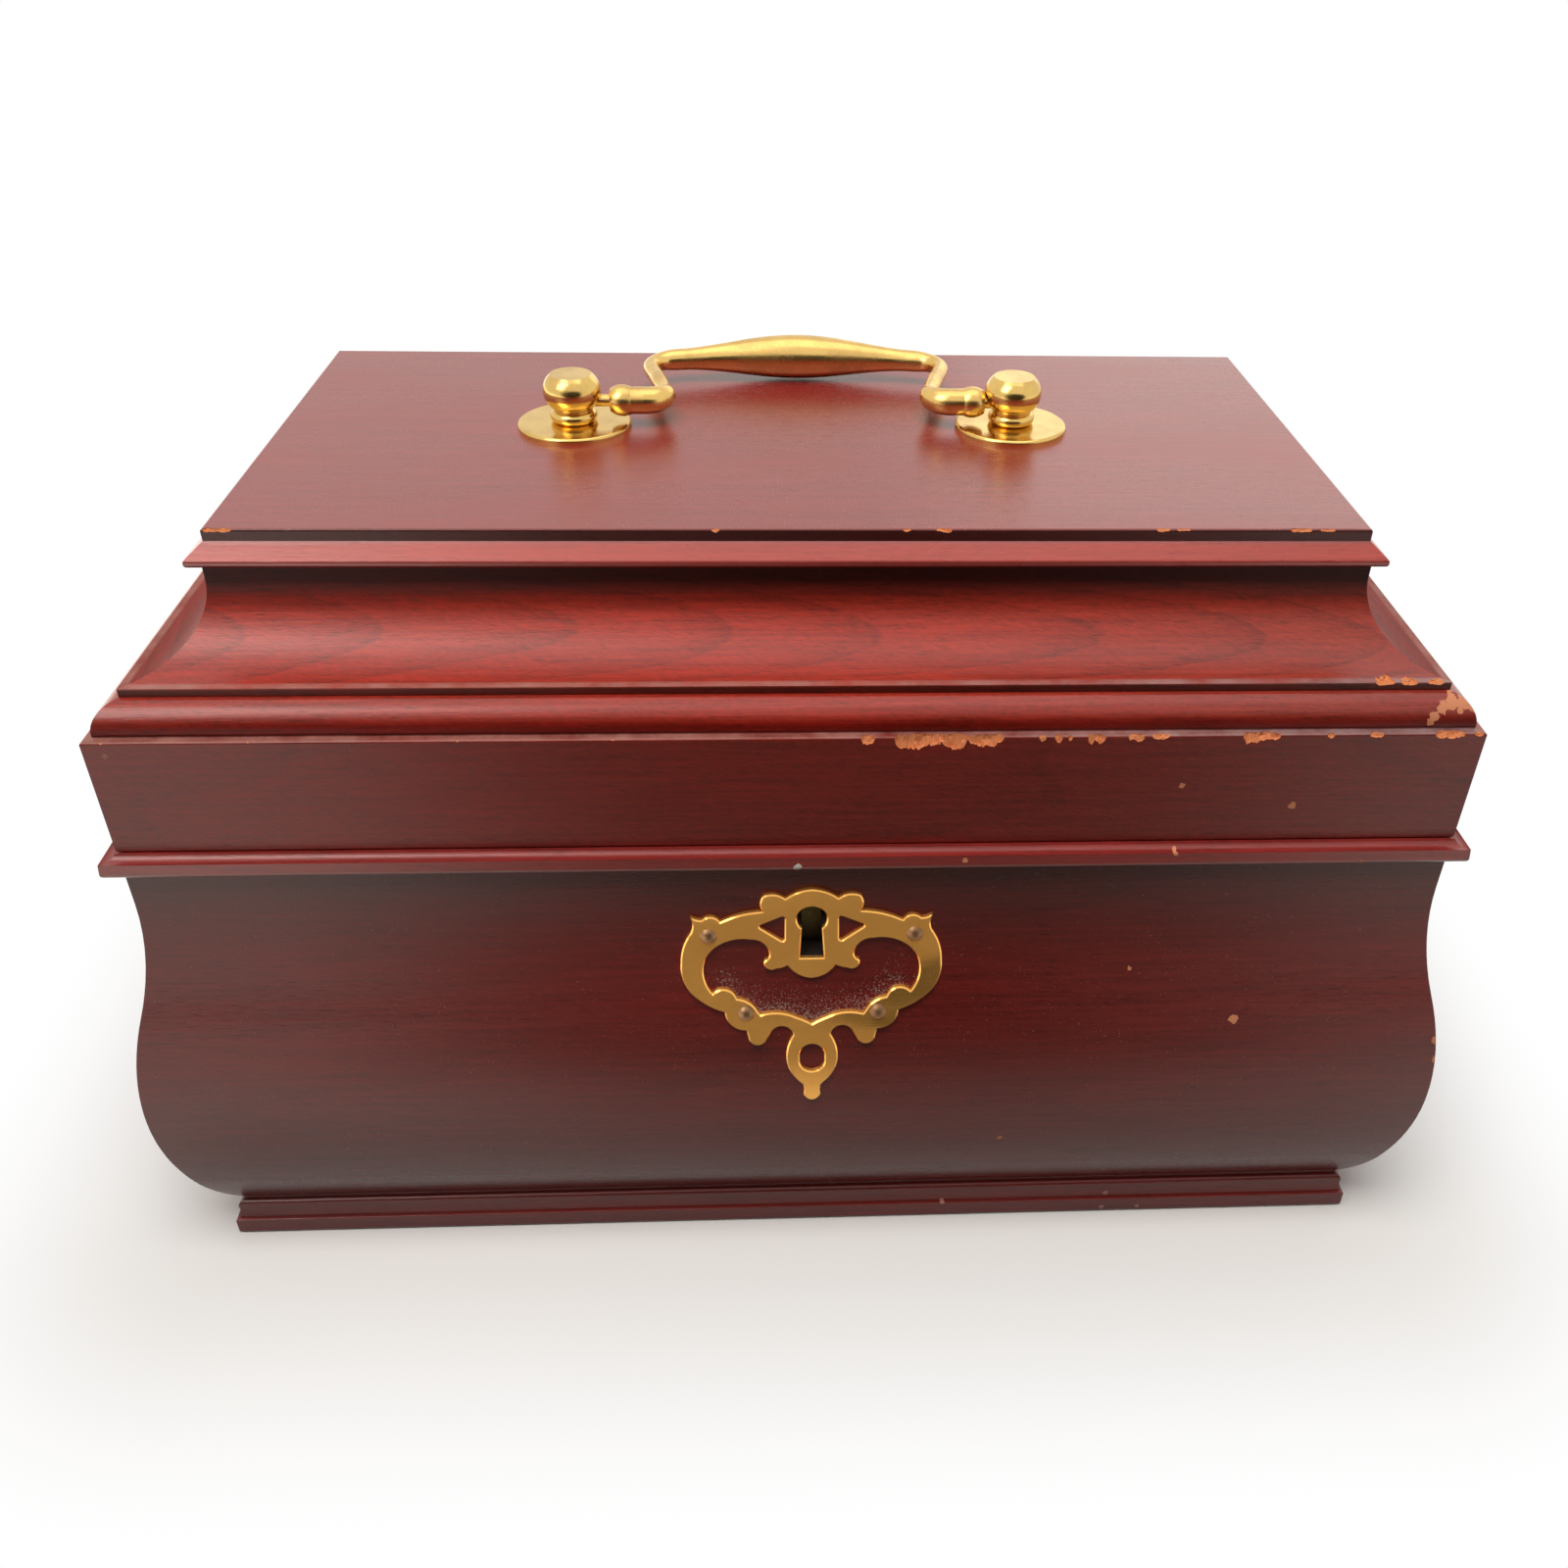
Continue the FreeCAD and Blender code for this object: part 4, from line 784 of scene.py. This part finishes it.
# Painted reflection: a greyer, cooler tint on the underside of the bar
tinted_band(bail_brass, bail_low - 0.001, bail_low + painted_reflection_reach, (0.85, 0.92, 1.35), soft=0.0015)
finish_node("bail_handle", bail_brass)


# Floor: a plain white studio floor under soft light from all round, one wide lamp overhead and weaker glows.
# What the floor throws back on the object is held down, so that the front stays in shade. A grey mat, a dark
# strip and a card lie and stand in front, out of the picture, for the brass and the lacquer to show.

def shows_background(tree):
    """1 for a ray that shows what is behind the object: seen straight, or in gloss, or through glass."""
    path = add_node(tree, "ShaderNodeLightPath")
    shown = maths(tree, "MAXIMUM", path.outputs["Is Camera Ray"], path.outputs["Is Glossy Ray"])
    return maths(tree, "MAXIMUM", shown, path.outputs["Is Transmission Ray"])


def floor_finish():
    """White near the object, where it takes the shadow, and plain white light further off.
    In gloss it is a little warmer, and brighter to the left, where the window of the room would be."""
    material = bpy.data.materials.new("floor_finish")
    material.use_nodes = True
    tree = material.node_tree
    paper = tree.nodes["Principled BSDF"]
    paper.inputs["Base Color"].default_value = (0.96, 0.96, 0.96, 1.0)
    paper.inputs["Roughness"].default_value = 0.9
    paper.inputs["Specular IOR Level"].default_value = 0.0
    plinth_half = (0.125, 0.072, 0)
    shadow_reach = 0.075
    place = object_place(tree)
    for operation, part in (("ABSOLUTE", (0, 0, 0)), ("SUBTRACT", plinth_half), ("MAXIMUM", (0, 0, 0))):
        place = add_node(tree, "ShaderNodeVectorMath", {0: place, 1: part}, operation=operation).outputs[0]
    away = add_node(tree, "ShaderNodeVectorMath", {0: place}, operation="LENGTH").outputs["Value"]
    fade_inputs = {"Value": away, "From Min": 0.0, "From Max": shadow_reach}
    fade = add_node(tree, "ShaderNodeMapRange", fade_inputs, interpolation_type="SMOOTHSTEP").outputs[0]
    straight = add_node(tree, "ShaderNodeLightPath").outputs["Is Camera Ray"]
    across = add_node(tree, "ShaderNodeSeparateXYZ", {0: object_place(tree)}).outputs["X"]
    left_light, right_light, light_reach = 2.2, 1.25, 0.35
    side_inputs = {
        "Value": across, "From Min": -light_reach, "From Max": light_reach,
        "To Min": left_light, "To Max": right_light,
    }
    window_light = add_node(tree, "ShaderNodeMapRange", side_inputs).outputs[0]
    strength = add_node(tree, "ShaderNodeMix", {0: straight, 2: window_light, 3: 1.0}).outputs[0]
    warm_white = (1.0, 0.94, 0.85, 1.0)
    tint = blend_colours(tree, straight, warm_white, (1.0, 1.0, 1.0, 1.0))
    glow = add_node(tree, "ShaderNodeEmission", {"Color": tint, "Strength": strength})
    bright = add_node(tree, "ShaderNodeMixShader", {0: fade, 1: paper.outputs[0], 2: glow.outputs[0]})
    dark_floor = (0.10, 0.10, 0.10, 1.0)
    held_down = add_node(tree, "ShaderNodeBsdfDiffuse", {"Color": dark_floor})
    both_inputs = {0: shows_background(tree), 1: held_down.outputs[0], 2: bright.outputs[0]}
    both = add_node(tree, "ShaderNodeMixShader", both_inputs)
    tree.links.new(both.outputs[0], tree.nodes["Material Output"].inputs["Surface"])
    return material


def cloth_finish(name, grey, middle, reach, soft):
    """Dark cloth that thins out to nothing over a soft share of an oval of that middle and reach."""
    material = bpy.data.materials.new(name)
    material.use_nodes = True
    tree = material.node_tree
    cloth = tree.nodes["Principled BSDF"]
    cloth.inputs["Base Color"].default_value = (grey, 0.92 * grey, 0.82 * grey, 1.0)
    cloth.inputs["Roughness"].default_value = 0.9
    cloth.inputs["Specular IOR Level"].default_value = 0.0
    oval = object_place(tree)
    for operation, part in (("SUBTRACT", middle), ("DIVIDE", reach)):
        oval = add_node(tree, "ShaderNodeVectorMath", {0: oval, 1: part}, operation=operation).outputs[0]
    away = add_node(tree, "ShaderNodeVectorMath", {0: oval}, operation="LENGTH").outputs["Value"]
    thin_inputs = {"Value": away, "From Min": 1.0 - soft, "From Max": 1.0}
    thin = add_node(tree, "ShaderNodeMapRange", thin_inputs, interpolation_type="SMOOTHSTEP").outputs[0]
    clear = add_node(tree, "ShaderNodeBsdfTransparent")
    edged = add_node(tree, "ShaderNodeMixShader", {0: thin, 1: cloth.outputs[0], 2: clear.outputs[0]})
    tree.links.new(edged.outputs[0], tree.nodes["Material Output"].inputs["Surface"])
    return material


def stage_sheet(name, width, length, place, material):
    sheet = bmesh.new()
    bmesh.ops.create_grid(sheet, x_segments=1, y_segments=1, size=0.5)
    bmesh.ops.scale(sheet, vec=(width, length, 1.0), verts=sheet.verts)
    bmesh.ops.transform(sheet, matrix=place, verts=sheet.verts)
    mesh = bpy.data.meshes.new(name)
    sheet.to_mesh(mesh)
    sheet.free()
    mesh.materials.append(material)
    made = bpy.data.objects.new(name, mesh)
    bpy.context.scene.collection.objects.link(made)
    return made


floor_side = 12.0
stage_sheet("floor", floor_side, floor_side, Matrix.Translation((0, 0, -0.0001)), floor_finish())
mat_spot = Vector((0.03, -0.46, 0.0002))
mat_reach = (0.24, 0.44, 1.0)
mat_cloth = cloth_finish("mat_cloth", 0.36, mat_spot, mat_reach, soft=0.45)
mat = stage_sheet("front_mat", 2 * mat_reach[0], 2 * mat_reach[1], Matrix.Translation(mat_spot), mat_cloth)
card_spot = Vector((0.05, -0.70, 0.26))
card_reach = (0.8, 1.0, 0.38)
card_cloth = cloth_finish("card_cloth", 0.10, card_spot, card_reach, soft=0.5)
card_place = Matrix.Translation(card_spot) @ Matrix.Rotation(math.radians(90), 4, "X")
card = stage_sheet("front_card", 2 * card_reach[0], 0.52, card_place, card_cloth)
strip_spot = Vector((0.064, -0.55, 0.0004))
strip_reach = (0.045, 0.285, 1.0)
strip_cloth = cloth_finish("shade_cloth", 0.015, strip_spot, strip_reach, soft=0.15)
strip_place = Matrix.Translation(strip_spot)
strip = stage_sheet("front_shade", 2 * strip_reach[0], 2 * strip_reach[1], strip_place, strip_cloth)
for held in (mat, card, strip):
    held.visible_camera = False
    held.visible_shadow = False

world = bpy.data.worlds.new("studio")
world.use_nodes = True
bpy.context.scene.world = world
studio = world.node_tree
sky = studio.nodes["Background"]
soft_light = 0.13
warm_sky = (1.0, 0.965, 0.915, 1.0)
seen_straight = add_node(studio, "ShaderNodeLightPath").outputs["Is Camera Ray"]
sky_colour = blend_colours(studio, seen_straight, warm_sky, (1.0, 1.0, 1.0, 1.0))
sky_strength = maths(studio, "MULTIPLY_ADD", shows_background(studio), 1 - soft_light, soft_light)
studio.links.new(sky_colour, sky.inputs["Color"])
studio.links.new(sky_strength, sky.inputs["Strength"])


def studio_lamp(name, width, length, power, spot):
    """A wide soft lamp of that size in metres and power in watts, aimed at the middle of the box."""
    aim = Vector((0, 0, 0.1))
    lamp_data = bpy.data.lights.new(name, "AREA")
    lamp_data.shape = "RECTANGLE"
    lamp_data.size = width
    lamp_data.size_y = length
    lamp_data.energy = power
    lamp_data.color = (1.0, 0.96, 0.90)
    lamp = bpy.data.objects.new(name, lamp_data)
    lamp.location = spot
    lamp.rotation_euler = (aim - Vector(spot)).to_track_quat("-Z", "Y").to_euler()
    lamp.visible_camera = False
    bpy.context.scene.collection.objects.link(lamp)
    return lamp


overhead = studio_lamp("overhead_lamp", 0.9, 0.6, 12.4, (-0.08, -0.40, 1.20))
overhead.visible_glossy = False
left_glow = studio_lamp("left_glow", 0.6, 0.9, 8.2, (-0.70, -0.62, 1.15))
ceiling = studio_lamp("ceiling_glow", 1.6, 1.2, 5.4, (0.0, 0.1, 1.6))
for glow in (left_glow, ceiling):
    glow.visible_diffuse = False
studio_lamp("window_lamp", 1.1, 0.7, 1.3, (0.75, 1.45, 0.65))

bpy.context.scene.view_settings.view_transform = "Standard"


# Camera: where the photograph was taken from, looking down on the box from a hand's height above it.
# Its middle and focal length are in the photograph's pixels, as fitted to the edges of the mouldings.

photo_size = 1600
photo_middle = (871, 871)
photo_focal = 1464
camera_spot = Vector((-0.0047, -0.2871, 0.2603))
camera_down = math.radians(36.13)
camera_yaw = math.radians(-3.82)
camera_roll = math.radians(1.59)
sensor_width = 36.0
camera_data = bpy.data.cameras.new("camera")
camera_data.sensor_width = sensor_width
camera_data.lens = sensor_width * photo_focal / photo_size
camera_data.shift_x = (photo_size / 2 - photo_middle[0]) / photo_size
camera_data.shift_y = (photo_middle[1] - photo_size / 2) / photo_size
camera_data.clip_start = 0.01
camera = bpy.data.objects.new("camera", camera_data)
camera.matrix_world = (
    Matrix.Translation(camera_spot)
    @ Matrix.Rotation(camera_yaw, 4, "Z")
    @ Matrix.Rotation(math.radians(90) - camera_down, 4, "X")
    @ Matrix.Rotation(camera_roll, 4, "Z")
)
bpy.context.scene.collection.objects.link(camera)
bpy.context.scene.camera = camera
